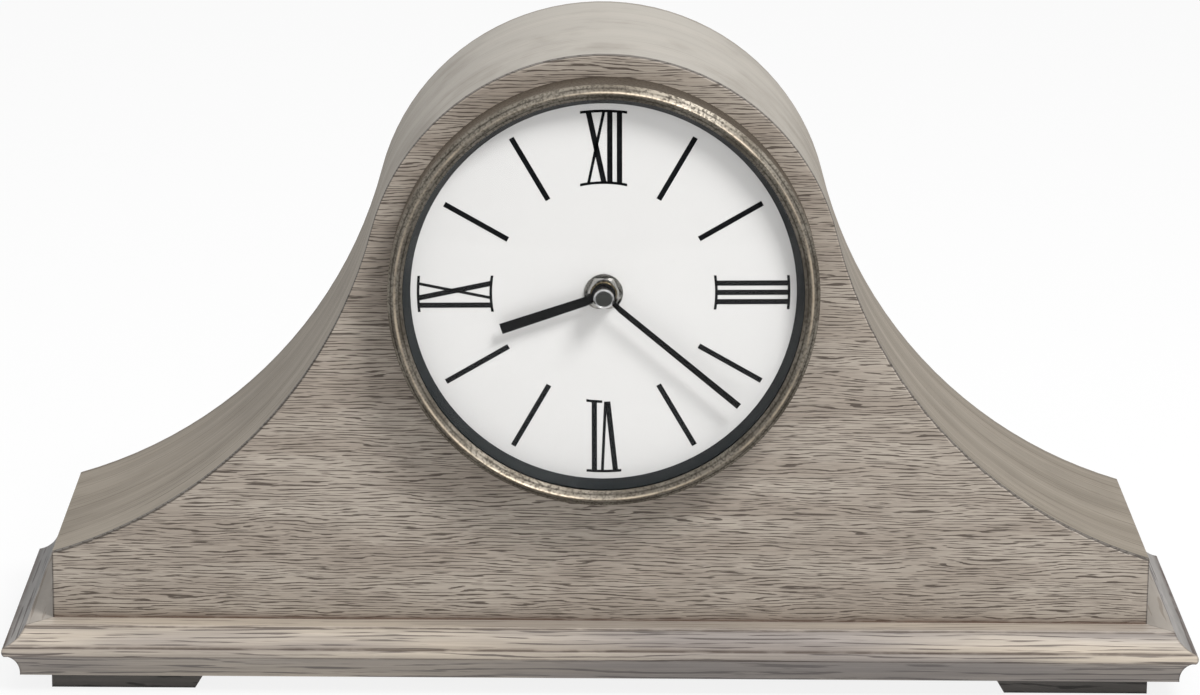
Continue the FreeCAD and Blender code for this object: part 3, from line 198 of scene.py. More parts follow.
class Sheet:
    """A node tree with short calls that add and join nodes."""

    def __init__(self, tree):
        self.tree = tree

    def add(self, kind, **values):
        node = self.tree.nodes.new(kind)
        for key, value in values.items():
            setattr(node, key, value)
        return node

    def join(self, source, target):
        self.tree.links.new(source, target)

    def feed(self, target, value):
        """Joins a socket to the target, or sets a plain value on it."""
        if isinstance(value, bpy.types.NodeSocket):
            self.join(value, target)
        else:
            target.default_value = value

    def maths(self, operation, first, second=0.0):
        node = self.add("ShaderNodeMath", operation=operation)
        self.feed(node.inputs[0], first)
        self.feed(node.inputs[1], second)
        return node.outputs[0]

    def mixed(self, share, first, second):
        """Colour between two others, at a share of the second."""
        node = self.add("ShaderNodeMix", data_type="RGBA")
        self.feed(node.inputs["Factor"], share)
        self.feed(node.inputs["A"], first)
        self.feed(node.inputs["B"], second)
        return node.outputs["Result"]

    def covered(self, colour, mask, strength, cover):
        """Colour with another one over it where the mask is, at a strength."""
        return self.mixed(self.maths("MULTIPLY", mask, strength), colour, cover)

    def ramp(self, value, low, high, to_low=0.0, to_high=1.0):
        """Smooth step of a value between two limits."""
        node = self.add("ShaderNodeMapRange", interpolation_type="SMOOTHSTEP")
        self.feed(node.inputs["Value"], value)
        self.feed(node.inputs["From Min"], low)
        self.feed(node.inputs["From Max"], high)
        self.feed(node.inputs["To Min"], to_low)
        self.feed(node.inputs["To Max"], to_high)
        return node.outputs["Result"]

    def fall(self, value, low, high):
        """Smooth step from 1 at the low limit down to 0 at the high one."""
        return self.ramp(value, low, high, to_low=1.0, to_high=0.0)

    def noise(self, vector, scale=1.0, detail=2.0, roughness=0.5):
        node = self.add("ShaderNodeTexNoise")
        self.feed(node.inputs["Vector"], vector)
        self.feed(node.inputs["Scale"], scale)
        self.feed(node.inputs["Detail"], detail)
        self.feed(node.inputs["Roughness"], roughness)
        return node.outputs["Fac"]

    def scaled(self, vector, scale):
        node = self.add("ShaderNodeVectorMath", operation="MULTIPLY")
        self.feed(node.inputs[0], vector)
        self.feed(node.inputs[1], scale)
        return node.outputs[0]

    def axes(self, vector):
        node = self.add("ShaderNodeSeparateXYZ")
        self.feed(node.inputs[0], vector)
        return node.outputs[0], node.outputs[1], node.outputs[2]

    def place(self):
        return self.add("ShaderNodeTexCoord").outputs["Object"]


def linear(red, green, blue):
    """Linear colour from the 0 to 255 values that it is seen as."""
    shares = [value / 255 for value in (red, green, blue)]
    return tuple(s / 12.92 if s <= 0.04045 else ((s + 0.055) / 1.055) ** 2.4 for s in shares) + (1.0,)


def stepped(start, steps):
    """Places at the given steps from a start."""
    return [start + step for step in steps]


def new_group(name, inputs, outputs):
    """Node group with named inputs (kind, default) and outputs (kind). Returns its sheet and end nodes."""
    tree = bpy.data.node_groups.new(name, "ShaderNodeTree")
    for key, (kind, default) in inputs.items():
        socket = tree.interface.new_socket(key, in_out="INPUT", socket_type="NodeSocket" + kind)
        if default is not None:
            socket.default_value = default
    for key, kind in outputs.items():
        tree.interface.new_socket(key, in_out="OUTPUT", socket_type="NodeSocket" + kind)
    sheet = Sheet(tree)
    return sheet, sheet.add("NodeGroupInput"), sheet.add("NodeGroupOutput")


def use_group(sheet, name, **values):
    """Places a group and feeds its inputs, whose names start with a capital letter."""
    node = sheet.add("ShaderNodeGroup", node_tree=bpy.data.node_groups[name])
    for key, value in values.items():
        sheet.feed(node.inputs[key.capitalize()], value)
    return node.outputs


def new_material(name, roughness=0.5, metallic=0.0, **plain):
    """Material with a Principled shader. An underscore in a value's name stands for a space."""
    material = bpy.data.materials.new(name)
    material.use_nodes = True
    sheet = Sheet(material.node_tree)
    shader = material.node_tree.nodes["Principled BSDF"]
    shader.inputs["Roughness"].default_value = roughness
    shader.inputs["Metallic"].default_value = metallic
    for key, value in plain.items():
        shader.inputs[key.replace("_", " ")].default_value = value
    return material, sheet, shader


def bumped(sheet, shader, height, distance, strength):
    """Gives the shader a relief from a height."""
    bump = sheet.add("ShaderNodeBump")
    bump.inputs["Distance"].default_value = distance
    bump.inputs["Strength"].default_value = strength
    sheet.feed(bump.inputs["Height"], height)
    sheet.join(bump.outputs["Normal"], shader.inputs["Normal"])


def shown(material, sheet, share, first, second):
    """Mixes two shaders into the material's output."""
    mix = sheet.add("ShaderNodeMixShader")
    sheet.feed(mix.inputs[0], share)
    sheet.join(first.outputs[0], mix.inputs[1])
    sheet.join(second.outputs[0], mix.inputs[2])
    sheet.join(mix.outputs[0], material.node_tree.nodes["Material Output"].inputs["Surface"])


def backdrop_seen(sheet):
    """1 for the rays that show the white background: from the camera, in metal and through glass."""
    rays = sheet.add("ShaderNodeLightPath")
    seen = sheet.maths("MAXIMUM", rays.outputs["Is Camera Ray"], rays.outputs["Is Glossy Ray"])
    return sheet.maths("MAXIMUM", seen, rays.outputs["Is Transmission Ray"])


# Shared effects


def grain_group():
    """Oak grain: broken dark pores that lie along wavering rows, fine fibre and broad tone.

    In Place, one unit is a pore's length along the grain and a pore's thickness across it.
    Row counts the rows across the grain.
    """
    waver_scale = (0.30, 0.10, 0.10)
    fibre_scale = (0.6, 1.2, 1.2)
    tone_scale = (0.16, 0.06, 0.06)
    row_sway = 6.0
    crest_weight = 0.2
    fewest_limit = 0.75
    most_limit = 0.59
    pore_softness = 0.10
    sheet, start, end = new_group(
        "oak_grain",
        {"Place": ("Vector", None), "Row": ("Float", 0.0), "Streaks": ("Float", 0.5),
         "Waver": ("Float", 0.5)},
        {"Pores": "Float", "Fibre": "Float", "Tone": "Float"},
    )
    place = start.outputs["Place"]
    waver = sheet.noise(sheet.scaled(place, waver_scale))
    sway = sheet.maths("MULTIPLY", sheet.maths("SUBTRACT", waver, 0.5), start.outputs["Waver"])
    row = sheet.maths("ADD", start.outputs["Row"], sheet.maths("MULTIPLY", sway, row_sway))
    crest = sheet.ramp(sheet.maths("SINE", sheet.maths("MULTIPLY", row, 2 * math.pi)), 0.0, 1.0)
    streak = sheet.noise(place, roughness=0.55)
    both = sheet.maths("ADD", streak, sheet.maths("MULTIPLY", crest, crest_weight))
    limit = sheet.ramp(start.outputs["Streaks"], 0.0, 1.0, to_low=fewest_limit, to_high=most_limit)
    top = sheet.maths("ADD", limit, pore_softness)
    sheet.join(sheet.ramp(both, limit, top), end.inputs["Pores"])
    fibre = sheet.noise(sheet.scaled(place, fibre_scale), detail=3.0, roughness=0.65)
    sheet.join(fibre, end.inputs["Fibre"])
    tone = sheet.noise(sheet.scaled(place, tone_scale), detail=3.0)
    sheet.join(tone, end.inputs["Tone"])


def line_group():
    """Mask of a line where a value passes a level, broken up by noise."""
    patch_scale = 90.0
    faintest = 0.45
    sheet, start, end = new_group(
        "glaze_and_shade_line",
        {"Value": ("Float", 0.0), "Level": ("Float", 0.0), "Width": ("Float", 0.001),
         "Place": ("Vector", None)},
        {"Mask": "Float"},
    )
    away = sheet.maths("SUBTRACT", start.outputs["Value"], start.outputs["Level"])
    near = sheet.fall(sheet.maths("ABSOLUTE", away), 0.0, start.outputs["Width"])
    patches = sheet.noise(start.outputs["Place"], scale=patch_scale, detail=3.0)
    broken = sheet.ramp(patches, 0.3, 0.55, to_low=faintest)
    sheet.join(sheet.maths("MULTIPLY", near, broken), end.inputs["Mask"])


def speckle_group():
    """Fine pits and worn patches of an antiqued metal."""
    cloud_scale = 60.0
    sheet, start, end = new_group(
        "antique_speckle",
        {"Place": ("Vector", None), "Size": ("Float", 1400.0)},
        {"Pits": "Float", "Cloud": "Float"},
    )
    place = start.outputs["Place"]
    fine = sheet.noise(place, scale=start.outputs["Size"], detail=3.0)
    sheet.join(sheet.ramp(fine, 0.42, 0.66), end.inputs["Pits"])
    sheet.join(sheet.noise(place, scale=cloud_scale, detail=4.0), end.inputs["Cloud"])


def fine_group():
    """Moulded grain and cloudy tone for plastic, paper and lacquer."""
    cloud_scale = 45.0
    sheet, start, end = new_group(
        "moulded_grain",
        {"Place": ("Vector", None), "Size": ("Float", 2500.0)},
        {"Grain": "Float", "Cloud": "Float"},
    )
    place = start.outputs["Place"]
    sheet.join(sheet.noise(place, scale=start.outputs["Size"]), end.inputs["Grain"])
    sheet.join(sheet.noise(place, scale=cloud_scale, detail=3.0), end.inputs["Cloud"])


# Wood


def oak(name, stretch, rows, light, dark, pore, streaks, waver=0.5, pore_depth=0.8, roughness=0.5):
    """Weathered oak. Stretch gives pores per metre along X, Y and Z, rows the rows per metre.

    Returns the material, its sheet and shader, the place on the object and the colour so far.
    """
    material, sheet, shader = new_material(name, roughness=roughness)
    place = sheet.place()
    across = sheet.add("ShaderNodeVectorMath", operation="DOT_PRODUCT")
    sheet.join(place, across.inputs[0])
    sheet.feed(across.inputs[1], rows)
    grain = use_group(sheet, "oak_grain", place=sheet.scaled(place, stretch),
                      row=across.outputs["Value"], streaks=streaks, waver=waver)
    tone = sheet.mixed(sheet.ramp(grain["Tone"], 0.35, 0.65), light, dark)
    shade = sheet.add("ShaderNodeVectorMath", operation="SCALE")
    sheet.join(tone, shade.inputs[0])
    sheet.join(sheet.ramp(grain["Fibre"], 0.3, 0.7, to_low=0.82, to_high=1.10), shade.inputs["Scale"])
    colour = sheet.covered(shade.outputs[0], grain["Pores"], pore_depth, pore)
    height = sheet.maths("SUBTRACT", sheet.maths("MULTIPLY", grain["Fibre"], 0.3), grain["Pores"])
    bumped(sheet, shader, height, distance=pore_relief, strength=0.5)
    rough = sheet.ramp(grain["Pores"], 0.0, 1.0, to_low=roughness, to_high=roughness + 0.2)
    sheet.join(rough, shader.inputs["Roughness"])
    return material, sheet, shader, place, colour


def front_oak():
    """Front panel with glaze lines along its edge, ends and foot.

    The minus in its stretch mirrors the grain from side to side.
    """
    material, sheet, shader, place, colour = oak(
        "front_oak", stretch=(-88, 90, 1750), rows=(0, 0, 820), light=linear(169, 159, 147),
        dark=linear(152, 141, 129), pore=linear(70, 60, 52), streaks=0.86, waver=0.9, pore_depth=0.9)
    x, y, z = sheet.axes(place)
    edge = sheet.maths("MULTIPLY", sheet.ramp(y, *stepped(face_y, edge_line_rise)),
                       sheet.fall(y, *stepped(face_y, edge_line_fall)))
    outward = sheet.maths("ABSOLUTE", x)
    end = sheet.maths("MULTIPLY", sheet.ramp(outward, *stepped(panel_high.x, end_line_rise)),
                      sheet.fall(y, *stepped(face_y, end_line_fall)))
    for width, strength in foot_lines:
        foot = use_group(sheet, "glaze_and_shade_line", value=z, level=ledge_z, width=width, place=place)
        colour = sheet.covered(colour, foot["Mask"], strength, linear(92, 70, 58))
    colour = sheet.covered(colour, sheet.maths("MAXIMUM", edge, end), 0.8, linear(52, 46, 40))
    sheet.join(colour, shader.inputs["Base Color"])
    return material


def roof_oak():
    """Smoother veneer, painted paler over the crown as a highlight, with its grain along the curve."""
    material, sheet, shader, place, colour = oak(
        "roof_oak", stretch=(16, 900, 16), rows=(0, 300, 0), light=linear(138, 129, 116),
        dark=linear(120, 111, 98), pore=linear(96, 87, 76), streaks=0.34, pore_depth=0.5, roughness=0.6)
    shader.inputs["Specular IOR Level"].default_value = 0.3
    y, z = sheet.axes(place)[1:]
    # Painted highlight: the crown, which faces up to the lamps, is made paler than the sweeps.
    crown_highlight = sheet.mixed(0.6, colour, linear(184, 180, 173))
    colour = sheet.mixed(sheet.ramp(z, crown_highlight_start, roof_high.z), colour, crown_highlight)
    cloud = sheet.noise(place, scale=26.0, detail=4.0, roughness=0.6)
    colour = sheet.covered(colour, sheet.ramp(cloud, 0.45, 0.72), 0.35, linear(100, 92, 80))
    joint = sheet.fall(y, *stepped(face_y, roof_joint_fall))
    colour = sheet.covered(colour, joint, 0.9, linear(56, 50, 43))
    back = sheet.ramp(y, roof_high.y - roof_back_shade, roof_high.y)
    colour = sheet.covered(colour, back, 0.5, linear(80, 72, 62))
    sheet.join(colour, shader.inputs["Base Color"])
    return material


def moulding_oak(name, stretch, rows, light, dark):
    """Moulding with a painted highlight on the ledge's top, painted shade on its greyer underside and in the
    steps of its profile, and glaze lines at its mitres.
    """
    material, sheet, shader, place, colour = oak(
        name, stretch, rows, light, dark, linear(70, 62, 60), streaks=0.62, waver=0.6, pore_depth=0.75)
    x, y, z = sheet.axes(place)
    # Painted shade: the underside below the nose, which faces down, is made darker and greyer.
    underside_shade = sheet.fall(z, *stepped(ledge_z - nose_low_drop, under_blend))
    colour = sheet.covered(colour, underside_shade, 0.4, linear(112, 109, 108))
    # Painted highlight: the ledge's flat top, which faces up to the lamps, is made paler.
    wear_and_highlight = sheet.ramp(z, *stepped(ledge_z, ledge_highlight))
    colour = sheet.covered(colour, wear_and_highlight, 0.35, linear(190, 178, 162))
    # Painted shade: dark lines in the steps of the profile, below the ledge and at the top and foot of the
    # nose.
    for drop, width, strength in ((cove_line_drop, line_width, 0.85), (nose_top_drop, line_width, 0.85),
                                  (nose_low_drop, nose_low_width, 0.9)):
        line = use_group(sheet, "glaze_and_shade_line", value=z, level=ledge_z - drop, width=width, place=place)
        colour = sheet.covered(colour, line["Mask"], strength, linear(68, 55, 47))
    spread = sheet.maths("ADD", sheet.maths("ABSOLUTE", x), y)
    mitre = use_group(sheet, "glaze_and_shade_line", value=spread, level=rail_high.x + rail_low.y,
                      width=mitre_width, place=place)
    front_mitre = sheet.maths("MULTIPLY", mitre["Mask"], sheet.fall(y, -mitre_fade, 0.0))
    colour = sheet.covered(colour, front_mitre, 0.6, linear(70, 62, 56))
    sheet.join(colour, shader.inputs["Base Color"])
    return material


def foot_oak():
    """Dark feet, with painted shade that makes them darker still at the sole."""
    material, sheet, shader, place, colour = oak(
        "foot_oak", stretch=(60, 600, 600), rows=(0, 300, 300), light=linear(90, 86, 82),
        dark=linear(76, 72, 68), pore=linear(44, 42, 40), streaks=0.35)
    # Painted shade: the bottom of each foot, where it meets the floor, is made near black.
    sole_shade = sheet.fall(sheet.axes(place)[2], 0.0, sole_height)
    colour = sheet.covered(colour, sole_shade, 0.7, linear(28, 28, 28))
    sheet.join(colour, shader.inputs["Base Color"])
    return material


def back_oak(name, light, dark, stretch=(900, 300, 30), rows=(430, 0, 0)):
    """Plainer boards with their grain upright."""
    material, sheet, shader, _, colour = oak(
        name, stretch, rows, light, dark, linear(84, 74, 64), streaks=0.35, pore_depth=0.7)
    sheet.join(colour, shader.inputs["Base Color"])
    return material


# Metals


def antique_nickel():
    """Warm speckled nickel with a dark seam, a wall browned partly by painted reflection of the wood, and a
    bright ridge that is partly worn and partly a painted highlight.
    """
    material, sheet, shader = new_material("antique_nickel", metallic=1.0)
    place = sheet.place()
    speckle = use_group(sheet, "antique_speckle", place=place, size=1000.0)
    patches = sheet.ramp(speckle["Cloud"], 0.35, 0.7)
    colour = sheet.mixed(patches, linear(132, 126, 116), linear(98, 92, 83))
    colour = sheet.covered(colour, speckle["Pits"], 0.6, linear(70, 65, 58))
    y = sheet.axes(place)[1]
    # The wall's brown is partly the metal's own tone and partly a painted reflection of the wood panel
    # beside it.
    wall_tone_and_reflection = sheet.ramp(y, *stepped(face_y, bezel_wall))
    colour = sheet.covered(colour, wall_tone_and_reflection, 0.75, linear(98, 88, 77))
    seam = use_group(sheet, "glaze_and_shade_line", value=y, level=bezel_low.y + bezel_seam_depth,
                     width=bezel_seam_width, place=place)
    colour = sheet.covered(colour, seam["Mask"], 0.7, linear(46, 42, 38))
    # The bright ridge is partly worn metal and partly a painted highlight.
    ridge = sheet.fall(y, bezel_low.y, bezel_low.y + bezel_ridge_depth)
    wear_and_highlight = sheet.ramp(speckle["Cloud"], 0.38, 0.62, to_low=0.15, to_high=0.85)
    colour = sheet.covered(colour, ridge, wear_and_highlight, linear(198, 184, 164))
    sheet.join(colour, shader.inputs["Base Color"])
    rough = sheet.ramp(speckle["Pits"], 0.0, 1.0, to_low=0.50, to_high=0.66)
    sheet.join(rough, shader.inputs["Roughness"])
    bumped(sheet, shader, speckle["Pits"], distance=pit_relief, strength=0.25)
    return material


def plain_metal(name, colour, dark, roughness):
    """Plated or plain metal, a little cloudy and unevenly polished."""
    material, sheet, shader = new_material(name, metallic=1.0)
    speckle = use_group(sheet, "antique_speckle", place=sheet.place(), size=900.0)
    sheet.join(sheet.covered(colour, speckle["Cloud"], 0.5, dark), shader.inputs["Base Color"])
    rough = sheet.ramp(speckle["Pits"], 0.0, 1.0, to_low=roughness, to_high=roughness + 0.12)
    sheet.join(rough, shader.inputs["Roughness"])
    return material


def cap_metal():
    """Chrome rim with a dark grey face."""
    material, sheet, shader = new_material("cap_metal")
    place = sheet.place()
    x, y, z = sheet.axes(place)
    up = sheet.maths("SUBTRACT", z, (cap_low.z + cap_high.z) / 2)
    squares = sheet.maths("ADD", sheet.maths("POWER", x, 2.0), sheet.maths("POWER", up, 2.0))
    inside = sheet.fall(sheet.maths("SQRT", squares), *cap_face_edge)
    mask = sheet.maths("MULTIPLY", inside, sheet.fall(y, *stepped(cap_low.y, cap_face_fall)))
    grain = use_group(sheet, "moulded_grain", place=place, size=3000.0)
    face = sheet.mixed(grain["Grain"], linear(34, 36, 34), linear(52, 54, 50))
    sheet.join(sheet.mixed(mask, linear(232, 232, 232), face), shader.inputs["Base Color"])
    sheet.join(sheet.ramp(mask, 0.0, 1.0, to_low=0.1, to_high=0.55), shader.inputs["Roughness"])
    sheet.join(sheet.fall(mask, 0.0, 1.0), shader.inputs["Metallic"])
    return material


# Dial, hands and glass


def dial_paint():
    """Off-white paint with a faint cloud in it."""
    material, sheet, shader = new_material("dial_paint", roughness=0.55)
    grain = use_group(sheet, "moulded_grain", place=sheet.place(), size=1800.0)
    colour = sheet.mixed(grain["Cloud"], linear(246, 245, 243), linear(242, 241, 239))
    sheet.join(colour, shader.inputs["Base Color"])
    bumped(sheet, shader, grain["Grain"], distance=dial_relief, strength=0.2)
    return material


def slate_paint():
    """Dark blue-grey lacquer of the sloping ring round the dial."""
    material, sheet, shader = new_material("slate_paint", roughness=0.42, Specular_IOR_Level=0.2)
    grain = use_group(sheet, "moulded_grain", place=sheet.place(), size=700.0)
    colour = sheet.mixed(grain["Cloud"], linear(11, 16, 18), linear(17, 24, 27))
    sheet.join(colour, shader.inputs["Base Color"])
    bumped(sheet, shader, grain["Grain"], distance=moulded_relief, strength=0.3)
    return material


def gloss_paint(name, colour, wear_and_highlight, roughness, gloss=0.5):
    """Plastic, paper or paint with a fine moulded grain."""
    material, sheet, shader = new_material(name, Specular_IOR_Level=gloss)
    grain = use_group(sheet, "moulded_grain", place=sheet.place(), size=2200.0)
    sheet.join(sheet.mixed(grain["Cloud"], colour, wear_and_highlight), shader.inputs["Base Color"])
    rough = sheet.ramp(grain["Grain"], 0.3, 0.7, to_low=roughness, to_high=roughness + 0.1)
    sheet.join(rough, shader.inputs["Roughness"])
    bumped(sheet, shader, grain["Grain"], distance=moulded_relief, strength=0.35)
    return material


def clear_glass():
    """Glass that lets the lamps' light through to the dial."""
    material, sheet, shader = new_material("clear_glass", roughness=0.0, IOR=1.19, Transmission_Weight=1.0)
    rays = sheet.add("ShaderNodeLightPath")
    through = sheet.maths("MAXIMUM", rays.outputs["Is Shadow Ray"], rays.outputs["Is Diffuse Ray"])
    shown(material, sheet, through, shader, sheet.add("ShaderNodeBsdfTransparent"))
    return material


def floor_paint():
    """Pale floor that the camera sees near white, with the object's shadow left on it."""
    material, sheet, shader = new_material("floor_paint", roughness=0.9)
    shader.inputs["Base Color"].default_value = linear(236, 236, 236)
    glow = sheet.add("ShaderNodeEmission")
    glow.inputs["Strength"].default_value = 1.0
    share = sheet.maths("MULTIPLY", backdrop_seen(sheet), floor_white_share)
    shown(material, sheet, share, shader, glow)
    return material


def flag_cloth():
    """Dark cloth that only reflections show. All other rays pass through it."""
    material, sheet, shader = new_material("flag_cloth", roughness=0.9)
    shader.inputs["Base Color"].default_value = linear(42, 42, 42)
    rays = sheet.add("ShaderNodeLightPath")
    shown(material, sheet, rays.outputs["Is Glossy Ray"], sheet.add("ShaderNodeBsdfTransparent"), shader)
    return material


# Pieces


def new_object(name, points, faces, material):
    mesh = bpy.data.meshes.new(name)
    mesh.from_pydata(points, [], faces)
    mesh.update()
    mesh.materials.append(material)
    thing = bpy.data.objects.new(name, mesh)
    bpy.context.scene.collection.objects.link(thing)
    return thing


def new_piece(name, points, faces, material, body):
    """Object that rides a body."""
    piece = new_object(name, points, faces, material)
    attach(piece, body)
    return piece


def dial_point(radius, across, angle):
    """Point on the print's face: out from the centre along a clockwise angle, and across it."""
    turn = math.radians(angle + dial_turn)
    out = Vector((math.sin(turn), 0, math.cos(turn)))
    side = Vector((math.cos(turn), 0, -math.sin(turn)))
    return dial_centre + out * radius + side * across - Vector((0, print_thickness, 0))


class Print:
    """Raised ink on the dial, gathered into one mesh."""

    def __init__(self):
        self.points = []
        self.faces = []

    def patch(self, corners):
        """Flat shape from its outline, with thin sides down to the dial."""
        first = len(self.points)
        count = len(corners)
        self.points += corners + [corner + Vector((0, print_thickness, 0)) for corner in corners]
        self.faces.append(tuple(range(first, first + count)))
        for i in range(count):
            j = (i + 1) % count
            self.faces.append((first + i, first + count + i, first + count + j, first + j))

    def bar(self, angle, inner, outer, across_inner, across_outer, width):
        """Straight stroke between two radii, with its ends along the dial's circles."""
        lean = (across_outer - across_inner) / (outer - inner)
        half_run = width / 2 * math.hypot(1, lean)
        corners = []
        for across, radius in ((across_inner - half_run, inner), (across_outer - half_run, outer),
                               (across_outer + half_run, outer), (across_inner + half_run, inner)):
            along = math.sqrt(radius ** 2 - across ** 2)
            corners.append(dial_point(along, across, angle))
        self.patch(corners)

    def serif(self, angle, radius, low, high):
        """Thin curved bar along a circle of the dial, from one side to the other."""
        edges = []
        for reach, order in ((radius + serif_thickness / 2, 1), (radius - serif_thickness / 2, -1)):
            row = []
            for i in range(arc_steps + 1):
                across = low + (high - low) * i / arc_steps
                row.append(dial_point(math.sqrt(reach ** 2 - across ** 2), across, angle))
            edges += row[::order]
        self.patch(edges)

    def letter_i(self, angle, middle):
        self.bar(angle, numeral_inner, numeral_outer, middle, middle, thick_stroke)

    def letter_x(self, angle, low, high):
        self.bar(angle, numeral_inner, numeral_outer, high, low, thick_stroke)
        self.bar(angle, numeral_inner, numeral_outer, low, high, thin_stroke)

    def letter_v(self, angle, low, foot, high):
        self.bar(angle, numeral_inner, numeral_outer, foot - thin_stroke / 4, low, thick_stroke)
        self.bar(angle, numeral_inner, numeral_outer, foot + thin_stroke / 2, high, thin_stroke)

    def serifs(self, angle, low, high):
        self.serif(angle, numeral_inner, low, high)
        self.serif(angle, numeral_outer, low, high)


def numerals(ink):
    """XII, III, VI and IX, each at its own hour."""
    marks = Print()
    marks.letter_x(0, *twelve_x)
    for middle in twelve_bars:
        marks.letter_i(0, middle)
    marks.serifs(0, *twelve_serifs)
    right = 3 * hour_angle
    for middle in three_bars:
        marks.letter_i(right, middle)
    marks.serifs(right, *three_serifs)
    below = 6 * hour_angle
    marks.letter_v(below, *six_v)
    marks.letter_i(below, six_bar)
    marks.serif(below, numeral_outer, *six_outer_serif)
    marks.serif(below, numeral_inner, *six_inner_serif)
    left = 9 * hour_angle
    marks.letter_i(left, nine_bar)
    marks.letter_x(left, *nine_x)
    marks.serifs(left, *nine_serifs)
    new_piece("dial_numerals", marks.points, marks.faces, ink, "case")


def hour_ticks(ink):
    """Bars at the hours that have no numeral."""
    marks = Print()
    for hour in range(12):
        if hour % 3:
            marks.bar(hour * hour_angle, tick_inner, tick_outer, 0, 0, tick_width)
    new_piece("dial_ticks", marks.points, marks.faces, ink, "case")


def bush_thread(metal):
    """Ridge of the bush's thread that shows in front of its nut."""
    turns = int((nut_low.y - bush_low.y) / thread_pitch)
    total = turns * thread_steps
    points, faces = [], []
    for i in range(total + 1):
        angle = 2 * math.pi * i / thread_steps
        start = bush_low.y + thread_pitch * (i / thread_steps)
        fade = min(1.0, i / thread_steps, (total - i) / thread_steps)
        crest = thread_core + thread_depth * max(fade, thread_end_share)
        for reach, y in ((thread_core, start), (crest, start + thread_pitch / 2),
                         (thread_core, start + thread_pitch)):
            z = dial_centre.z + reach * math.sin(angle)
            points.append((reach * math.cos(angle), min(y, nut_low.y), z))
    for i in range(total):
        for j in (0, 1):
            faces.append((3 * i + j, 3 * i + j + 1, 3 * i + j + 4, 3 * i + j + 3))
    piece = new_piece("bush_thread", points, faces, metal, "case")
    for face in piece.data.polygons:
        face.use_smooth = True


def nut_point(reach, angle, y):
    """Point of the nut, out from its axis along a clockwise angle."""
    return (reach * math.sin(angle), y, dial_centre.z + reach * math.cos(angle))


def hexagon_nut(metal):
    """Nut with a flat side up, its front corners turned off to a cone, and a chamfered bore."""
    half = (nut_high.x - nut_low.x) / 2
    corner = 2 * half / math.sqrt(3)
    angles = [2 * math.pi * i / nut_steps for i in range(nut_steps)]
    points, faces = [], []
    for back, rise in ((nut_high.y, 0), (nut_low.y + nut_cone_depth, nut_cone_rise)):
        for angle in angles:
            turn = (math.degrees(angle) + nut_side_angle / 2) % nut_side_angle - nut_side_angle / 2
            reach = half / math.cos(math.radians(turn))
            y = back - rise * (corner - reach) / (corner - half)
            points.append(nut_point(reach, angle, y))
    for reach, y in ((half * nut_face_share, nut_low.y), (nut_mouth, nut_low.y),
                     (nut_bore, nut_low.y + nut_mouth_depth), (nut_bore, nut_high.y)):
        points += [nut_point(reach, angle, y) for angle in angles]
    rings = len(points) // nut_steps
    for k in range(rings):
        here, after = k * nut_steps, (k + 1) % rings * nut_steps
        for i in range(nut_steps):
            j = (i + 1) % nut_steps
            faces.append((here + i, here + j, after + j, after + i))
    nut = new_piece("hexagon_nut", points, faces, metal, "case")
    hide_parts("bush_nut")


def slotted_head(points, faces, centre, turn):
    """Round screw head in two raised halves with a slot between them."""
    along = Vector((math.cos(turn), 0, math.sin(turn)))
    across = Vector((-math.sin(turn), 0, math.cos(turn)))
    start = math.asin(screw_slot / 2 / screw_radius)
    for side in (-1, 1):
        first = len(points)
        rim = []
        for i in range(screw_steps + 1):
            angle = start + (math.pi - 2 * start) * i / screw_steps
            rim.append(along * math.cos(angle) + across * math.sin(angle) * side)
        for share, height in ((1, 0), (1, screw_height * screw_wall_share), (screw_top_share, screw_height)):
            for spot in rim:
                points.append(centre + spot * screw_radius * share + Vector((0, height, 0)))
        count = len(rim)
        for k in range(2):
            low, high = first + k * count, first + (k + 1) * count
            for i in range(count):
                j = (i + 1) % count
                faces.append((low + i, low + j, high + j, high + i))
        faces.append(tuple(first + 2 * count + i for i in range(count)))
    first = len(points)
    half_length = screw_radius * slot_length_share
    floor = Vector((0, screw_height * slot_floor_share, 0))
    for a, b in ((-1, -1), (1, -1), (1, 1), (-1, 1)):
        points.append(centre + along * a * half_length + across * b * screw_slot / 2 + floor)
    faces.append((first, first + 1, first + 2, first + 3))


def hinge_screws(metal):
    """Two screws on each of the four hinge leaves."""
    for part, body, side in (("case_leaf", "case", 1), ("door_leaf", "door", -1)):
        points, faces = [], []
        for name in ("lower", "upper"):
            low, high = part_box("hinge_" + name + "_" + part)
            edge = high.x if side > 0 else low.x
            for number, share in enumerate(screw_shares):
                centre = Vector((edge - side * screw_edge, low.y + leaf_thickness,
                                 low.z + (high.z - low.z) * share))
                slotted_head(points, faces, centre, math.radians(screw_turn * (number + 1)))
        new_piece("hinge_" + part + "_screws", points, faces, metal, body)


def add_details(brass):
    """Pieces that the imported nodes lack, and the nut that is shown in place of a plainer one."""
    ink = gloss_paint("dial_ink", linear(14, 16, 18), linear(20, 22, 24), 0.6, gloss=0.1)
    numerals(ink)
    hour_ticks(ink)
    bush_thread(brass)
    hexagon_nut(plain_metal("chrome_plate", linear(205, 203, 198), linear(140, 138, 132), 0.1))
    hinge_screws(brass)


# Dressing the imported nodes


def dress(material, *nodes):
    """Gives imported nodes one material."""
    for node in nodes:
        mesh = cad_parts[node].data
        mesh.materials.clear()
        mesh.materials.append(material)


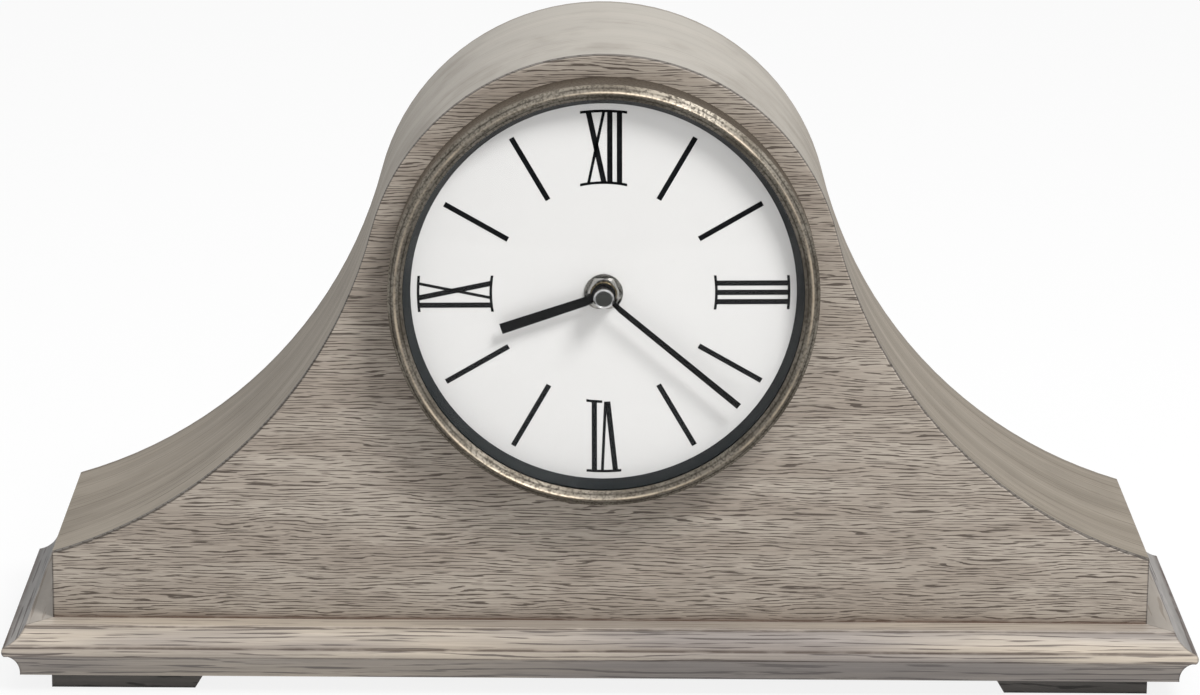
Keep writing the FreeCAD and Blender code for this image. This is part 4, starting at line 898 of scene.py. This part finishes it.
def dress_case():
    """Case, moulding, feet, back and door. Each grain has its stretch and its rows."""
    long_grain = ((34, 700, 1100), (0, 330, 480))
    side_grain = ((400, 30, 700), (250, 0, 330))
    end_grain = ((300, 900, 30), (0, 430, 0))
    dress(front_oak(), "front_panel")
    dress(roof_oak(), "roof_skin")
    dress(moulding_oak("rail_oak_long", *long_grain, linear(190, 178, 162), linear(142, 134, 128)),
          "base_rail_front")
    dress(moulding_oak("rail_oak_back", *long_grain, linear(146, 140, 132), linear(108, 104, 99)),
          "base_rail_back")
    # Painted shade: the side rails take a darker, greyer copy of the front moulding's colours.
    dress(moulding_oak("rail_oak_side_shaded", *side_grain, linear(132, 128, 124), linear(80, 78, 76)),
          "base_rail_left", "base_rail_right")
    dress(foot_oak(), "feet_front", "feet_back")
    dress(back_oak("back_oak", linear(150, 142, 132), linear(128, 119, 109)), "back_panel")
    dress(back_oak("end_oak", linear(144, 135, 123), linear(126, 117, 105), *end_grain),
          "end_panel_left", "end_panel_right")
    dress(back_oak("door_oak", linear(158, 150, 140), linear(136, 127, 117)), "back_door")
    dress(back_oak("board_oak", linear(140, 128, 112), linear(118, 106, 92)), "base_board")


def dress_dial(brass):
    """Bezel, glass, ring, dial, hands and the metal at their centre."""
    dress(antique_nickel(), "bezel")
    dress(clear_glass(), "crystal")
    dress(slate_paint(), "dial_surround")
    dress(dial_paint(), "dial_plate")
    dress(gloss_paint("dial_board", linear(150, 118, 84), linear(128, 98, 68), 0.8), "dial_backer")
    dress(gloss_paint("hand_black", linear(6, 7, 8), linear(10, 11, 12), 0.6, gloss=0.05),
          "hour_hand", "minute_hand")
    dress(plain_metal("washer_chrome", linear(150, 148, 142), linear(84, 82, 78), 0.18),
          "bush_washer", "bush_nut")
    dress(brass, "centre_bush", "minute_arbor")
    dress(cap_metal(), "hand_nut")


def dress_hardware():
    """Screws, hinges, catch and the other plain metal."""
    dress(plain_metal("steel_plain", linear(186, 186, 184), linear(132, 130, 126), 0.32),
          "hinge_pins", "catch_plate", "base_screws", "bezel_screws", "movement_screws",
          "speaker_frame", "cell_contacts")
    dress(plain_metal("hinge_brass", linear(190, 166, 112), linear(140, 118, 76), 0.3),
          "hinge_lower_case_leaf", "hinge_upper_case_leaf", "hinge_lower_door_leaf",
          "hinge_upper_door_leaf")
    dress(plain_metal("magnet_iron", linear(96, 96, 98), linear(66, 66, 68), 0.4),
          "catch_magnet", "speaker_magnet")
    dress(plain_metal("coil_wire", linear(184, 110, 70), linear(140, 80, 48), 0.35), "motor_coil")


def dress_movement():
    """Plastics, rubber, paper and cells of the movement."""
    dress(gloss_paint("black_plastic", linear(34, 34, 35), linear(44, 44, 45), 0.5),
          "movement_shell", "movement_cover", "train_bridge", "step_motor", "volume_control",
          "slide_switches")
    dress(gloss_paint("wheel_nylon", linear(226, 222, 208), linear(214, 208, 192), 0.45),
          "hour_wheel", "motion_wheel", "centre_wheel", "third_wheel", "fourth_wheel", "set_arbor")
    dress(gloss_paint("knob_plastic", linear(58, 58, 60), linear(68, 68, 70), 0.45),
          "set_knob", "volume_knob", "melody_slide", "night_slide")
    dress(gloss_paint("gasket_rubber", linear(30, 30, 30), linear(38, 38, 38), 0.8), "movement_gasket")
    dress(gloss_paint("speaker_paper", linear(52, 50, 48), linear(62, 60, 57), 0.85), "speaker_cone")
    dress(gloss_paint("board_green", linear(34, 84, 54), linear(40, 96, 62), 0.4), "circuit_board")
    dress(gloss_paint("cell_wrap", linear(186, 142, 66), linear(170, 128, 58), 0.3),
          "cell_left", "cell_right")


# Floor, light and camera


def lay_floor():
    h = floor_half
    corners = [(-h, -h, 0), (h, -h, 0), (h, h, 0), (-h, h, 0)]
    floor = new_object("floor", corners, [(0, 1, 2, 3)], floor_paint())


def stand_flag():
    """Dark card in front of the clock, for the upper half of the crystal and the metal to reflect."""
    half = flag_width / 2
    y = face_y - flag_distance
    corners = [(-half, y, 0), (half, y, 0), (half, y, flag_height), (-half, y, flag_height)]
    flag = new_object("flag", corners, [(0, 1, 2, 3)], flag_cloth())


def hang_lamp(name, place, size, power):
    """Square lamp that points at the clock."""
    data = bpy.data.lights.new(name, "AREA")
    data.size = size
    data.energy = power
    lamp = bpy.data.objects.new(name, data)
    lamp.location = place
    lamp.rotation_mode = "QUATERNION"
    lamp.rotation_quaternion = (Vector(lamp_target) - lamp.location).to_track_quat("-Z", "Y")
    bpy.context.scene.collection.objects.link(lamp)


def light_world():
    """Even light all round, behind a background that is seen white."""
    world = bpy.data.worlds.new("studio")
    world.use_nodes = True
    bpy.context.scene.world = world
    sheet = Sheet(world.node_tree)
    backdrop = world.node_tree.nodes["Background"]
    backdrop.inputs["Color"].default_value = (1, 1, 1, 1)
    strength = sheet.ramp(backdrop_seen(sheet), 0.0, 1.0, to_low=world_strength)
    sheet.join(strength, backdrop.inputs["Strength"])


def set_camera():
    """Camera in front of the clock, looking a little down at it."""
    data = bpy.data.cameras.new("camera")
    data.sensor_fit = "HORIZONTAL"
    data.sensor_width = sensor_width
    data.lens = camera_lens
    camera = bpy.data.objects.new("camera", data)
    bpy.context.scene.collection.objects.link(camera)
    place = Vector(camera_place) + Vector((0, face_y, 0))
    camera.matrix_world = (Matrix.Translation(place)
                           @ Matrix.Rotation(math.radians(camera_yaw), 4, "Z")
                           @ Matrix.Rotation(math.radians(90 - camera_pitch), 4, "X")
                           @ Matrix.Rotation(math.radians(-camera_roll), 4, "Z"))
    bpy.context.scene.camera = camera


# The scene

grain_group()
line_group()
speckle_group()
fine_group()
plain_brass = plain_metal("brass_plain", linear(196, 180, 140), linear(140, 124, 92), 0.26)
dress_case()
dress_dial(plain_brass)
dress_hardware()
dress_movement()
add_details(plain_brass)
lay_floor()
stand_flag()
light_world()
hang_lamp("key", key_place, key_size, key_power)
hang_lamp("top", top_place, top_size, top_power)
set_camera()
bpy.context.scene.view_settings.view_transform = "Standard"
